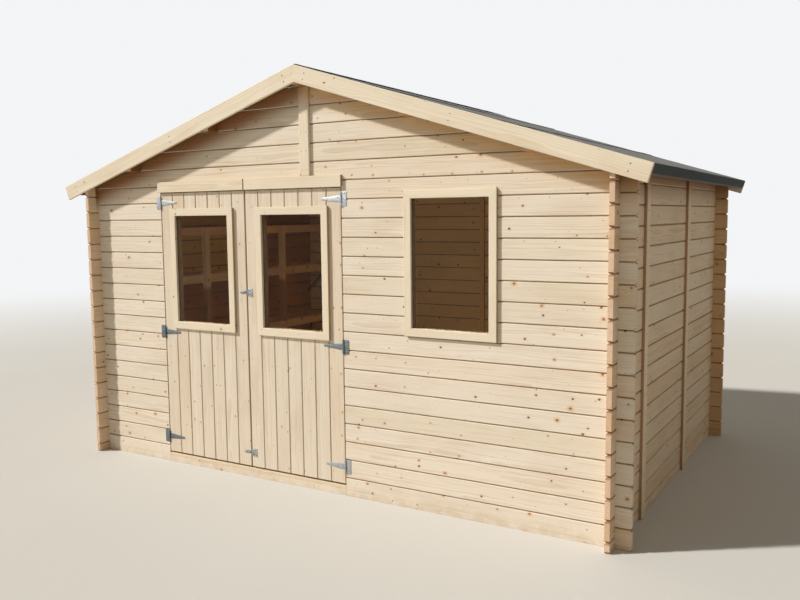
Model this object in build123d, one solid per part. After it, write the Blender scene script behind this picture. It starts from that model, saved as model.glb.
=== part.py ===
from build123d import *
import math
import os

# Timber garden shed with interlocking horizontal boards, a gable front with double doors
# and one fixed window, and a low two-slope felt roof.
# Millimetres. X runs to the right along the front, Y runs back, Z is up.
# The origin is on the ground, under the middle of the building.

# Walls
WIDTH = 3900.0
DEPTH = 2580.0
WALL = 28.0
COURSE = 115.0
SIDE_COURSES = 17
LOG_END = 88.0

# Roof
PITCH = 17.4
DECK = 18.0
FELT = 3.0
EAVE_REACH = 182.0
VERGE_REACH = 90.0
EAVE_BOARD = 16.0
EAVE_BOARD_HEIGHT = 42.0
BARGE_THICKNESS = 20.0
BARGE_HEIGHT = 100.0
RIDGE_STRIP_WIDTH = 160.0
PURLIN_WIDTH = 45.0
PURLIN_HEIGHT = 95.0
PURLIN_SHARE = 0.38

# Floor
BEARER_HEIGHT = 41.0
BEARER_WIDTH = 45.0
BEARER_COUNT = 6
FLOOR_BOARD = 19.0

# Doorway and its two leaves
DOORWAY_MARGIN = 676.0
LEAF_WIDTH = 758.0
LEAF_DROP = 104.0
LEAF_BOARD = 20.0
LEAF_GAP = 6.0
MEETING_GAP = 8.0
SILL_TOP = 70.0
THRESHOLD_HEIGHT = 27.0
THRESHOLD_NOSE = 12.0
HEAD_BOARD_HEIGHT = 72.0
HEAD_BOARD_THICKNESS = 20.0
HEAD_BOARD_OVERLAP = 8.0
HEAD_BOARD_JOINT = 8.0
JAMB_WIDTH = 45.0
JAMB_DEPTH = 35.0
JAMB_STOP = 12.0
LEDGE_THICKNESS = 22.0
LEDGE_HEIGHT = 95.0
LEDGE_INSET = 40.0
LEDGE_MARGIN = 60.0

# Glazing of the leaves
LEAF_STILE = 142.0
LEAF_PANE_HEIGHT = 730.0
LEAF_PANE_DROP = 157.0
LEAF_TRIM_WIDTH = 50.0
TRIM_THICKNESS = 18.0
GLASS = 4.0
REBATE = 12.0
LINING_DEPTH = 36.0

# Fixed window, its centre at a share of the way from the doorway to the right wall
WINDOW_SHARE = 0.442
WINDOW_WIDTH = 490.0
WINDOW_HEIGHT = 748.0
WINDOW_DROP = 178.5
WINDOW_TRIM_WIDTH = 48.0

# Vertical battens that tie the boards together
GABLE_BATTEN_WIDTH = 74.0
SIDE_BATTEN_WIDTH = 70.0
BATTEN_THICKNESS = 18.0
SIDE_BATTEN_FRONT = -785.0
SIDE_BATTEN_REAR = 270.0
INNER_BATTEN_WIDTH = 42.0

# Shelves along the left wall
SHELF_DEPTH = 300.0
SHELF_BOARD = 18.0
SHELF_LIP_HEIGHT = 66.0
LOWER_SHELF_TOP = 800.0
MIDDLE_SHELF_TOP = 1285.0
UPPER_SHELF_TOP = 1662.0
POST = 45.0
FRONT_POST = -545.0
REAR_POST = 410.0
STRUT_WIDTH = 36.0
STRUT_THICKNESS = 22.0
STRUT_MARGIN = 25.0

# Tee hinges
LOW_HINGE_MARGIN = 110.0
MIDDLE_HINGE_DROP = 968.5
TOP_HINGE_DROP = 65.0
HINGE_PLATE_HEIGHT = 90.0
HINGE_PLATE_WIDTH = 34.0
HINGE_METAL = 3.0
KNUCKLE_LENGTH = 40.0
KNUCKLE_RADIUS = 5.5
KNUCKLE_GAP = 0.5
PIN_RADIUS = 2.8
PIN_CLEARANCE = 0.4
PIN_HEAD = 2.0
STRAP_LENGTH = 148.0
STRAP_TIP = 14.0

# Catches across the meeting edges
CATCH_HEIGHTS = (172.0, 1247.0)
CATCH_METAL = 3.0
CATCH_EDGE = 3.0
CATCH_PLATE_LENGTH = 46.0
CATCH_PLATE_HEIGHT = 16.0
CATCH_BAR_RADIUS = 3.5
CATCH_TAIL = 8.0
KEEP_WIDTH = 42.0
KEEP_HEIGHT = 52.0
STAPLE_WIRE = 5.0
STAPLE_REACH = 16.0
STAPLE_HEIGHT = 32.0

# Sizes that follow from those above
HALF_WIDTH = WIDTH / 2
HALF_DEPTH = DEPTH / 2
INNER_HALF_WIDTH = HALF_WIDTH - WALL
INNER_HALF_DEPTH = HALF_DEPTH - WALL
FRONT = -HALF_DEPTH
FRONT_INNER = -INNER_HALF_DEPTH
SLOPE = math.tan(math.radians(PITCH))
EAVES_HEIGHT = COURSE / 2 + SIDE_COURSES * COURSE
APEX_HEIGHT = EAVES_HEIGHT + HALF_WIDTH * SLOPE
RAFTER = (HALF_WIDTH + EAVE_REACH) / math.cos(math.radians(PITCH))
ROOF_THICKNESS = DECK + FELT
VERGE = HALF_DEPTH + VERGE_REACH
PURLIN_SPACING = PURLIN_SHARE * HALF_WIDTH
FLOOR_TOP = BEARER_HEIGHT + FLOOR_BOARD

DOORWAY_WIDTH = 2 * LEAF_WIDTH + MEETING_GAP + 2 * LEAF_GAP
DOORWAY_LEFT = DOORWAY_MARGIN - HALF_WIDTH
DOORWAY_RIGHT = DOORWAY_LEFT + DOORWAY_WIDTH
DOOR_CENTRE = (DOORWAY_LEFT + DOORWAY_RIGHT) / 2
LEAF_BOTTOM = SILL_TOP + LEAF_GAP
LEAF_TOP = EAVES_HEIGHT - LEAF_DROP
DOORWAY_TOP = LEAF_TOP + LEAF_GAP
LEAF_BACK = FRONT + LEAF_BOARD
LEAF_PANE_WIDTH = LEAF_WIDTH - 2 * LEAF_STILE
LEAF_PANE_TOP = LEAF_TOP - LEAF_PANE_DROP
LEAF_PANE_BOTTOM = LEAF_PANE_TOP - LEAF_PANE_HEIGHT
HINGE_HEIGHTS = (LEAF_BOTTOM + LOW_HINGE_MARGIN, LEAF_TOP - MIDDLE_HINGE_DROP, LEAF_TOP - TOP_HINGE_DROP)
PIN_STAND_OFF = KNUCKLE_RADIUS + KNUCKLE_GAP
PIN_Y = FRONT - PIN_STAND_OFF
CATCH_BAR_LENGTH = CATCH_PLATE_LENGTH + CATCH_TAIL

WINDOW_CENTRE = DOORWAY_RIGHT + WINDOW_SHARE * (INNER_HALF_WIDTH - DOORWAY_RIGHT)
WINDOW_TOP = EAVES_HEIGHT - WINDOW_DROP
WINDOW_BOTTOM = WINDOW_TOP - WINDOW_HEIGHT
WINDOW_HOLE_LEFT = WINDOW_CENTRE - WINDOW_WIDTH / 2 - REBATE
WINDOW_HOLE_RIGHT = WINDOW_CENTRE + WINDOW_WIDTH / 2 + REBATE
WINDOW_HOLE_BOTTOM = WINDOW_BOTTOM - REBATE
WINDOW_HOLE_TOP = WINDOW_TOP + REBATE

SHELF_BACK = -INNER_HALF_WIDTH
SHELF_EDGE = SHELF_BACK + SHELF_DEPTH
LIP_FACE = SHELF_EDGE + SHELF_BOARD
STRUT_REACH = SHELF_DEPTH - STRUT_MARGIN


def block(x0, x1, y0, y1, z0, z1):
    """A plain box between two corners."""
    middle = ((x0 + x1) / 2, (y0 + y1) / 2, (z0 + z1) / 2)
    return Pos(*middle) * Box(x1 - x0, y1 - y0, z1 - z0)


def profile(points, y0, y1):
    """A prism whose outline is given as x, z points, running from y0 to y1."""
    face = make_face(Polyline(*[(x, y0, z) for x, z in points], close=True).edges())
    return extrude(face, amount=y1 - y0, dir=(0, 1, 0))


def slope_point(along, height):
    """A point of the right slope: distance from the apex, height above the deck's underside."""
    angle = math.radians(PITCH)
    x = along * math.cos(angle) + height * math.sin(angle)
    z = APEX_HEIGHT - along * math.sin(angle) + height * math.cos(angle)
    return x, z


def ridge_point(height):
    """Where a line at one height above the right slope's underside meets the ridge plane."""
    return slope_point(-height * SLOPE, height)


def underside(x):
    """Height of the deck's underside over a place on the X axis."""
    return APEX_HEIGHT - abs(x) * SLOPE


def mirrored(solid):
    """The same piece on the left half of the building."""
    return mirror(solid, about=Plane.YZ)


def group(*solids):
    """Several separate solids that share one name."""
    return Compound(children=list(solids))


def ring(centre, width, height, bottom, border, y0, y1):
    """A rectangular frame of one border width around an opening."""
    x0 = centre - width / 2
    x1 = centre + width / 2
    z1 = bottom + height
    outer = block(x0 - border, x1 + border, y0, y1, bottom - border, z1 + border)
    inner = block(x0, x1, y0, y1, bottom, z1)
    return outer - inner


def purlin(x):
    """A purlin under the deck, its top planed to the slope or to both slopes at the ridge."""
    left = x - PURLIN_WIDTH / 2
    right = x + PURLIN_WIDTH / 2
    bottom = underside(x) - PURLIN_HEIGHT
    points = [(left, bottom), (right, bottom), (right, underside(right))]
    if left < 0 < right:
        points.append((0, APEX_HEIGHT))
    points.append((left, underside(left)))
    return profile(points, -VERGE, VERGE)


def purlin_solids():
    """One purlin under the ridge and two under each slope."""
    return [purlin(row * PURLIN_SPACING) for row in (-2, -1, 0, 1, 2)]


def gable(bottom, y0, y1):
    """The part of an end wall above one height, notched for the purlins."""
    edge = INNER_HALF_WIDTH
    points = [(-edge, bottom), (edge, bottom), (edge, underside(edge))]
    points += [(0, APEX_HEIGHT), (-edge, underside(edge))]
    wall = profile(points, y0, y1)
    for piece in purlin_solids():
        wall = wall - piece
    return wall


def front_wall_boards():
    """The boards left of the doorway, between doorway and window, and right of the window."""
    left = (-INNER_HALF_WIDTH, DOORWAY_LEFT)
    middle = (DOORWAY_RIGHT, WINDOW_HOLE_LEFT)
    right = (WINDOW_HOLE_RIGHT, INNER_HALF_WIDTH)
    return group(*[block(x0, x1, FRONT, FRONT_INNER, 0, DOORWAY_TOP) for x0, x1 in (left, middle, right)])


def front_wall_at_window():
    """The boards under and over the fixed window."""
    under = block(WINDOW_HOLE_LEFT, WINDOW_HOLE_RIGHT, FRONT, FRONT_INNER, 0, WINDOW_HOLE_BOTTOM)
    over = block(WINDOW_HOLE_LEFT, WINDOW_HOLE_RIGHT, FRONT, FRONT_INNER, WINDOW_HOLE_TOP, DOORWAY_TOP)
    return group(under, over)


def front_wall_sill():
    """What is left of the lowest board under the threshold."""
    top = SILL_TOP - THRESHOLD_HEIGHT
    return block(DOORWAY_LEFT, DOORWAY_RIGHT, FRONT, FRONT_INNER, 0, top)


def front_gable():
    return gable(DOORWAY_TOP, FRONT, FRONT_INNER)


def rear_wall():
    return gable(0, INNER_HALF_DEPTH, HALF_DEPTH)


def log_ends():
    """The ends of the front and rear boards where they pass the side walls."""
    inner = HALF_WIDTH
    outer = HALF_WIDTH + LOG_END
    points = [(inner, 0), (outer, 0), (outer, underside(outer)), (inner, underside(inner))]
    right = [profile(points, y, y + WALL) for y in (FRONT, INNER_HALF_DEPTH)]
    return group(*right, *[mirrored(piece) for piece in right])


def right_wall():
    """One side wall, its boards running past the front and rear walls."""
    inner = INNER_HALF_WIDTH
    outer = HALF_WIDTH
    points = [(inner, 0), (outer, 0), (outer, EAVES_HEIGHT), (inner, underside(inner))]
    reach = HALF_DEPTH + LOG_END
    return profile(points, -reach, reach)


def left_wall():
    return mirrored(right_wall())


def floor_bearers():
    """Bearers on the ground, evenly spaced from wall to wall."""
    first = FRONT_INNER + BEARER_WIDTH / 2
    step = (2 * INNER_HALF_DEPTH - BEARER_WIDTH) / (BEARER_COUNT - 1)
    half = BEARER_WIDTH / 2
    places = [first + step * i for i in range(BEARER_COUNT)]
    edge = INNER_HALF_WIDTH
    return group(*[block(-edge, edge, y - half, y + half, 0, BEARER_HEIGHT) for y in places])


def floor_boards():
    edge = INNER_HALF_WIDTH
    return block(-edge, edge, FRONT_INNER, INNER_HALF_DEPTH, BEARER_HEIGHT, FLOOR_TOP)


def door_threshold():
    """The strip that the leaves close over, with a small nose in front of the wall."""
    bottom = SILL_TOP - THRESHOLD_HEIGHT
    return block(DOORWAY_LEFT, DOORWAY_RIGHT, FRONT - THRESHOLD_NOSE, FRONT_INNER, bottom, SILL_TOP)


def door_jambs():
    """Posts inside the wall, each with a lip behind the leaf that stops it."""
    back = FRONT_INNER + JAMB_DEPTH
    head = DOORWAY_TOP - JAMB_STOP
    left = block(DOORWAY_LEFT - JAMB_WIDTH, DOORWAY_LEFT + JAMB_STOP, FRONT_INNER, back, FLOOR_TOP, head)
    right = block(DOORWAY_RIGHT - JAMB_STOP, DOORWAY_RIGHT + JAMB_WIDTH, FRONT_INNER, back, FLOOR_TOP, head)
    return group(left, right)


def door_lintel():
    """The rail on top of the two posts."""
    back = FRONT_INNER + JAMB_DEPTH
    x0 = DOORWAY_LEFT - JAMB_WIDTH
    x1 = DOORWAY_RIGHT + JAMB_WIDTH
    bottom = DOORWAY_TOP - JAMB_STOP
    return block(x0, x1, FRONT_INNER, back, bottom, DOORWAY_TOP + JAMB_WIDTH)


def head_board_top():
    return DOORWAY_TOP + HEAD_BOARD_HEIGHT


def door_head_boards():
    """Two boards over the doorway, one above each leaf."""
    y0 = FRONT - HEAD_BOARD_THICKNESS
    gap = HEAD_BOARD_JOINT / 2
    x0 = DOORWAY_LEFT - HEAD_BOARD_OVERLAP
    x1 = DOORWAY_RIGHT + HEAD_BOARD_OVERLAP
    left = block(x0, DOOR_CENTRE - gap, y0, FRONT, DOORWAY_TOP, head_board_top())
    right = block(DOOR_CENTRE + gap, x1, y0, FRONT, DOORWAY_TOP, head_board_top())
    return group(left, right)


def gable_battens():
    """Battens outside both gables up to the ridge purlin, and one inside the rear wall."""
    half = GABLE_BATTEN_WIDTH / 2
    inner = INNER_BATTEN_WIDTH / 2
    low = head_board_top()
    top = APEX_HEIGHT - PURLIN_HEIGHT
    front = block(-half, half, FRONT - BATTEN_THICKNESS, FRONT, low, top)
    rear = block(-half, half, HALF_DEPTH, HALF_DEPTH + BATTEN_THICKNESS, low, top)
    inside = block(-inner, inner, INNER_HALF_DEPTH - BATTEN_THICKNESS, INNER_HALF_DEPTH, FLOOR_TOP, top)
    return group(front, rear, inside)


def side_battens():
    """Two battens outside each side wall."""
    x0 = HALF_WIDTH
    x1 = HALF_WIDTH + BATTEN_THICKNESS
    half = SIDE_BATTEN_WIDTH / 2
    points = [(x0, 0), (x1, 0), (x1, underside(x1)), (x0, underside(x0))]
    right = [profile(points, y - half, y + half) for y in (SIDE_BATTEN_FRONT, SIDE_BATTEN_REAR)]
    return group(*right, *[mirrored(piece) for piece in right])


def window_frame():
    """The outer trim of the fixed window."""
    y0 = FRONT - TRIM_THICKNESS
    return ring(WINDOW_CENTRE, WINDOW_WIDTH, WINDOW_HEIGHT, WINDOW_BOTTOM, WINDOW_TRIM_WIDTH, y0, FRONT)


def window_glass():
    y1 = FRONT + GLASS
    return block(WINDOW_HOLE_LEFT, WINDOW_HOLE_RIGHT, FRONT, y1, WINDOW_HOLE_BOTTOM, WINDOW_HOLE_TOP)


def window_lining():
    """The frame inside the opening that holds the glass from behind."""
    y0 = FRONT + GLASS
    return ring(WINDOW_CENTRE, WINDOW_WIDTH, WINDOW_HEIGHT, WINDOW_BOTTOM, REBATE, y0, y0 + LINING_DEPTH)


def purlins():
    return group(*purlin_solids())


def right_roof_deck():
    points = [slope_point(0, 0), slope_point(RAFTER, 0), slope_point(RAFTER, DECK), ridge_point(DECK)]
    return profile(points, -VERGE, VERGE)


def right_roof_felt():
    """Felt on the deck, turned down over the edge of the eaves."""
    outer = RAFTER + FELT
    points = [ridge_point(DECK), slope_point(RAFTER, DECK), slope_point(RAFTER, -EAVE_BOARD_HEIGHT)]
    points += [slope_point(outer, -EAVE_BOARD_HEIGHT), slope_point(outer, ROOF_THICKNESS)]
    points += [ridge_point(ROOF_THICKNESS)]
    return profile(points, -VERGE, VERGE)


def ridge_felt_strip():
    """A strip of felt folded over the ridge."""
    top = ROOF_THICKNESS + FELT
    right = [ridge_point(ROOF_THICKNESS), slope_point(RIDGE_STRIP_WIDTH, ROOF_THICKNESS)]
    right += [slope_point(RIDGE_STRIP_WIDTH, top), ridge_point(top)]
    left = [(-x, z) for x, z in right[1:3]]
    return profile(right + left[::-1], -VERGE, VERGE)


def eave_boards():
    """Narrow boards under the edge of the deck, behind the turned felt."""
    inner = RAFTER - EAVE_BOARD
    points = [slope_point(inner, 0), slope_point(inner, -EAVE_BOARD_HEIGHT)]
    points += [slope_point(RAFTER, -EAVE_BOARD_HEIGHT), slope_point(RAFTER, 0)]
    right = profile(points, -VERGE, VERGE)
    return group(mirrored(right), right)


def right_barge_board(y0):
    """A board along one edge of the right slope, mitred at the ridge."""
    top = ROOF_THICKNESS
    bottom = ROOF_THICKNESS - BARGE_HEIGHT
    end = RAFTER + FELT
    points = [ridge_point(top), slope_point(end, top), slope_point(end, bottom), ridge_point(bottom)]
    return profile(points, y0, y0 + BARGE_THICKNESS)


def right_barge_boards():
    return group(right_barge_board(-VERGE - BARGE_THICKNESS), right_barge_board(VERGE))


def left_barge_boards():
    pieces = (right_barge_board(-VERGE - BARGE_THICKNESS), right_barge_board(VERGE))
    return group(*[mirrored(piece) for piece in pieces])


def shelf(top):
    """A shelf from the front wall to the rear wall with a board along its edge."""
    board = block(SHELF_BACK, SHELF_EDGE, FRONT_INNER, INNER_HALF_DEPTH, top - SHELF_BOARD, top)
    lip = block(SHELF_EDGE, LIP_FACE, FRONT_INNER, INNER_HALF_DEPTH, top - SHELF_LIP_HEIGHT, top)
    return board + lip


def wall_shelves():
    """Three shelves, one above another."""
    return group(*[shelf(top) for top in (LOWER_SHELF_TOP, MIDDLE_SHELF_TOP, UPPER_SHELF_TOP)])


def shelf_posts():
    """Two posts on the floor in front of the shelves."""
    half = POST / 2
    places = (FRONT_POST, REAR_POST)
    x1 = LIP_FACE + POST
    return group(*[block(LIP_FACE, x1, y - half, y + half, FLOOR_TOP, UPPER_SHELF_TOP) for y in places])


def shelf_struts():
    """Diagonal struts from the left wall to the underside of the middle shelf."""
    top = MIDDLE_SHELF_TOP - SHELF_BOARD
    near = SHELF_BACK + STRUT_REACH
    points = [(SHELF_BACK, top - STRUT_REACH), (near, top), (near - STRUT_WIDTH, top)]
    points += [(SHELF_BACK, top - STRUT_REACH + STRUT_WIDTH)]
    reach = INNER_HALF_DEPTH - STRUT_MARGIN - STRUT_THICKNESS
    starts = (-INNER_HALF_DEPTH + STRUT_MARGIN, -STRUT_THICKNESS / 2, reach)
    return group(*[profile(points, y, y + STRUT_THICKNESS) for y in starts])


def leaf_left_edge(side):
    """The lower X of a leaf: side -1 is the left leaf and 1 the right leaf."""
    if side < 0:
        return DOORWAY_LEFT + LEAF_GAP
    return DOORWAY_RIGHT - LEAF_GAP - LEAF_WIDTH


def leaf_boards(side):
    """The upright boards of a leaf as one panel with a hole for the pane."""
    x0 = leaf_left_edge(side)
    x1 = x0 + LEAF_WIDTH
    middle = (x0 + x1) / 2
    panel = block(x0, x1, FRONT, LEAF_BACK, LEAF_BOTTOM, LEAF_TOP)
    half = LEAF_PANE_WIDTH / 2 + REBATE
    top = LEAF_PANE_TOP + REBATE
    hole = block(middle - half, middle + half, FRONT, LEAF_BACK, LEAF_PANE_BOTTOM - REBATE, top)
    return panel - hole


def leaf_ledges(side):
    """Three ledges across the back of a leaf."""
    x0 = leaf_left_edge(side) + LEDGE_INSET
    x1 = x0 + LEAF_WIDTH - 2 * LEDGE_INSET
    y1 = LEAF_BACK + LEDGE_THICKNESS
    pane_low = LEAF_PANE_BOTTOM - REBATE
    pane_high = LEAF_PANE_TOP + REBATE
    bottoms = (LEAF_BOTTOM + LEDGE_MARGIN, pane_low - LEDGE_HEIGHT, pane_high)
    return group(*[block(x0, x1, LEAF_BACK, y1, z, z + LEDGE_HEIGHT) for z in bottoms])


def leaf_middle(side):
    return leaf_left_edge(side) + LEAF_WIDTH / 2


def leaf_trim(side):
    """The mitred trim around the pane of a leaf."""
    y0 = FRONT - TRIM_THICKNESS
    size = (LEAF_PANE_WIDTH, LEAF_PANE_HEIGHT, LEAF_PANE_BOTTOM)
    return ring(leaf_middle(side), *size, LEAF_TRIM_WIDTH, y0, FRONT)


def leaf_glass(side):
    middle = leaf_middle(side)
    half = LEAF_PANE_WIDTH / 2 + REBATE
    bottom = LEAF_PANE_BOTTOM - REBATE
    top = LEAF_PANE_TOP + REBATE
    return block(middle - half, middle + half, FRONT, FRONT + GLASS, bottom, top)


def leaf_lining(side):
    """The frame behind the pane, as deep as the boards and ledges."""
    y0 = FRONT + GLASS
    y1 = LEAF_BACK + LEDGE_THICKNESS
    size = (LEAF_PANE_WIDTH, LEAF_PANE_HEIGHT, LEAF_PANE_BOTTOM)
    return ring(leaf_middle(side), *size, REBATE, y0, y1)


def pin_x(side):
    """The hinge pins stand in the gap between leaf and wall."""
    if side < 0:
        return DOORWAY_LEFT + LEAF_GAP / 2
    return DOORWAY_RIGHT - LEAF_GAP / 2


def about_pin(solid, side):
    """Moves a piece drawn for the left leaf's pin to the pin of either leaf."""
    if side > 0:
        solid = mirrored(solid)
    return Pos(pin_x(side), PIN_Y, 0) * solid


def upright_rod(radius, bottom, top):
    return Pos(0, 0, (bottom + top) / 2) * Cylinder(radius, top - bottom)


def hinge_plate(height):
    """The fixed half of a tee hinge: plate, two knuckles and the pin."""
    low = height - HINGE_PLATE_HEIGHT / 2
    high = height + HINGE_PLATE_HEIGHT / 2
    inner_low = height - KNUCKLE_LENGTH / 2
    inner_high = height + KNUCKLE_LENGTH / 2
    y1 = PIN_STAND_OFF
    y0 = y1 - HINGE_METAL
    edge = -KNUCKLE_RADIUS - KNUCKLE_GAP
    piece = block(edge - HINGE_PLATE_WIDTH, edge, y0, y1, low, high)
    for z0, z1 in ((low, inner_low), (inner_high, high)):
        piece = piece + block(edge, 0, y0, y1, z0, z1)
        piece = piece + upright_rod(KNUCKLE_RADIUS, z0, z1)
    return piece + upright_rod(PIN_RADIUS, low - PIN_HEAD, high + PIN_HEAD)


def hinge_strap(height):
    """The moving half of a tee hinge: a knuckle and a strap that narrows to a round tip."""
    low = height - KNUCKLE_LENGTH / 2 + KNUCKLE_GAP
    high = height + KNUCKLE_LENGTH / 2 - KNUCKLE_GAP
    bore = PIN_RADIUS + PIN_CLEARANCE
    y1 = PIN_STAND_OFF
    y0 = y1 - HINGE_METAL
    tip = STRAP_LENGTH - STRAP_TIP / 2
    points = [(bore, low), (tip, height - STRAP_TIP / 2), (tip, height + STRAP_TIP / 2), (bore, high)]
    strap = profile(points, y0, y1)
    strap = strap + Pos(tip, (y0 + y1) / 2, height) * Rot(90, 0, 0) * Cylinder(STRAP_TIP / 2, HINGE_METAL)
    strap = strap + upright_rod(KNUCKLE_RADIUS, low, high)
    return strap - upright_rod(bore, low, high)


def hinge_plates():
    return group(*[about_pin(hinge_plate(z), side) for side in (-1, 1) for z in HINGE_HEIGHTS])


def leaf_straps(side):
    return group(*[about_pin(hinge_strap(z), side) for z in HINGE_HEIGHTS])


def catch(height):
    """A plate with a bar on the meeting edge of the left leaf."""
    end = leaf_left_edge(-1) + LEAF_WIDTH - CATCH_EDGE
    y0 = FRONT - CATCH_METAL
    half = CATCH_PLATE_HEIGHT / 2
    plate = block(end - CATCH_PLATE_LENGTH, end, y0, FRONT, height - half, height + half)
    bar_y = y0 - CATCH_BAR_RADIUS / 2
    bar = Rot(0, 90, 0) * Cylinder(CATCH_BAR_RADIUS, CATCH_BAR_LENGTH)
    bar = Pos(end - CATCH_BAR_LENGTH / 2, bar_y, height) * bar
    tail = end - CATCH_BAR_LENGTH
    lug = block(tail, end - CATCH_PLATE_LENGTH, bar_y, FRONT, height - half / 2, height + half / 2)
    return plate + bar + lug


def keep(height):
    """A plate with a staple on the meeting edge of the right leaf."""
    start = leaf_left_edge(1) + CATCH_EDGE
    y0 = FRONT - CATCH_METAL
    half = KEEP_HEIGHT / 2
    plate = block(start, start + KEEP_WIDTH, y0, FRONT, height - half, height + half)
    x0 = start + (KEEP_WIDTH - STAPLE_WIRE) / 2
    x1 = x0 + STAPLE_WIRE
    half = STAPLE_HEIGHT / 2
    bow = block(x0, x1, y0 - STAPLE_REACH, y0, height - half, height + half)
    inner = half - STAPLE_WIRE
    hole = block(x0, x1, y0 - STAPLE_REACH + STAPLE_WIRE, y0, height - inner, height + inner)
    return plate + (bow - hole)


def left_door_catches():
    return group(*[catch(z) for z in CATCH_HEIGHTS])


def right_door_keeps():
    return group(*[keep(z) for z in CATCH_HEIGHTS])


def leaf_parts(name, side):
    """The pieces that swing with one leaf, by name."""
    return {
        name + "_boards": leaf_boards(side),
        name + "_ledges": leaf_ledges(side),
        name + "_window_trim": leaf_trim(side),
        name + "_window_glass": leaf_glass(side),
        name + "_window_lining": leaf_lining(side),
        name + "_hinge_straps": leaf_straps(side),
    }


def wall_parts():
    return {
        "front_wall_boards": front_wall_boards(),
        "front_wall_at_window": front_wall_at_window(),
        "front_wall_sill": front_wall_sill(),
        "front_gable": front_gable(),
        "rear_wall": rear_wall(),
        "log_ends": log_ends(),
        "left_wall": left_wall(),
        "right_wall": right_wall(),
        "side_battens": side_battens(),
        "gable_battens": gable_battens(),
    }


def opening_parts():
    return {
        "door_threshold": door_threshold(),
        "door_jambs": door_jambs(),
        "door_lintel": door_lintel(),
        "door_head_boards": door_head_boards(),
        "window_frame": window_frame(),
        "window_glass": window_glass(),
        "window_lining": window_lining(),
        "hinge_plates": hinge_plates(),
    }


def inside_parts():
    return {
        "floor_bearers": floor_bearers(),
        "floor_boards": floor_boards(),
        "wall_shelves": wall_shelves(),
        "shelf_posts": shelf_posts(),
        "shelf_struts": shelf_struts(),
    }


def roof_parts():
    return {
        "purlins": purlins(),
        "left_roof_deck": mirrored(right_roof_deck()),
        "right_roof_deck": right_roof_deck(),
        "left_roof_felt": mirrored(right_roof_felt()),
        "right_roof_felt": right_roof_felt(),
        "ridge_felt_strip": ridge_felt_strip(),
        "eave_boards": eave_boards(),
        "left_barge_boards": left_barge_boards(),
        "right_barge_boards": right_barge_boards(),
    }


def door_parts():
    parts = leaf_parts("left_door", -1)
    parts["left_door_catches"] = left_door_catches()
    parts.update(leaf_parts("right_door", 1))
    parts["right_door_keeps"] = right_door_keeps()
    return parts


def main():
    os.makedirs("parts", exist_ok=True)
    parts = {}
    for section in (wall_parts, opening_parts, inside_parts, roof_parts, door_parts):
        parts.update(section())
    for name, solid in parts.items():
        export_step(solid, f"parts/{name}.step")


main()
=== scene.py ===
import math
import random

import bmesh
import bpy
import numpy as np
from mathutils import Matrix, Vector


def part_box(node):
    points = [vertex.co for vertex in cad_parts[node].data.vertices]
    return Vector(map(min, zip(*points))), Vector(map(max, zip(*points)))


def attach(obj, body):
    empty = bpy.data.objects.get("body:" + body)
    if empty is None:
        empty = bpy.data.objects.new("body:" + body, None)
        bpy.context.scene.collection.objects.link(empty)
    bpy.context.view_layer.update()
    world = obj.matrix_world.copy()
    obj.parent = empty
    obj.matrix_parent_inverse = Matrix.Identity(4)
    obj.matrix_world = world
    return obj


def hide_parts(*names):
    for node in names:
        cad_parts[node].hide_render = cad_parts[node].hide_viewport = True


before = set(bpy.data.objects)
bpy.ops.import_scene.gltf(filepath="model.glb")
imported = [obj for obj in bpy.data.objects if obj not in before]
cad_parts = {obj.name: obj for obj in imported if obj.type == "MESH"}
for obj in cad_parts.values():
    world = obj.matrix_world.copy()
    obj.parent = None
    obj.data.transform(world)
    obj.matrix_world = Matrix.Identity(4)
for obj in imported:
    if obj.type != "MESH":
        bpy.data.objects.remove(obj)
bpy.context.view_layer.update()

X, Y, Z = Vector((1, 0, 0)), Vector((0, 1, 0)), Vector((0, 0, 1))

# Sizes in metres, those of the CAD frame: X runs along the front, Y to the rear, Z up from the ground.
# OUT and IN are the faces of a wall, measured from the middle.
PITCH = math.radians(17.4)
WALL_OUT, WALL_IN = 1.95, 1.922
GABLE_OUT, GABLE_IN = 1.29, 1.262
COURSE = 0.115
LOG_END = 0.088
END_ROUND = 0.011
EAVES = 2.0125
APEX = EAVES + WALL_OUT * math.tan(PITCH)
ROOF_CUT = 1.9  # boards whose top is above this are cut along the roof
RIDGE = Vector((0, 0, APEX))
SLOPE_DOWN = Vector((math.cos(PITCH), 0, -math.sin(PITCH)))
SLOPE_UP = Vector((math.sin(PITCH), 0, math.cos(PITCH)))
RAFTER = (WALL_OUT + 0.182) / math.cos(PITCH)
VERGE = 1.38
DECK, FELT_SKIN = 0.018, 0.003
LAPS = (0.16, 0.64, 1.50)  # lower edges of the felt sheets, down the slope
FLOOR_BASE, FLOOR_TOP = 0.041, 0.06
SHELVES = (0.800, 1.285, 1.662)
SHELF_BOARD, SHELF_DEPTH, SHELF_LIP = 0.018, 0.3, 0.066
BATTEN = 0.018
HAIR = 0.0005  # lets a mask take in or leave out a face that lies on its limit

# Tones of planks, as (least, spread). From 1.2 up the wood is darker and warmer; the side walls and the
# rear and left log ends take that as painted shade.
WALL_TONE, SIDE_TONE, LEAF_TONE, FRAME_TONE = (0.12, 0.68), (1.40, 0.22), (0.22, 0.56), (0.45, 0.16)
REAR_END_TONE, LEFT_END_TONE, RIGHT_END_TONE, EVEN_TONE = (1.85, 0.4), (1.42, 0.3), (0.0, 1.0), (0.5, 0.0)


# Materials

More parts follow.
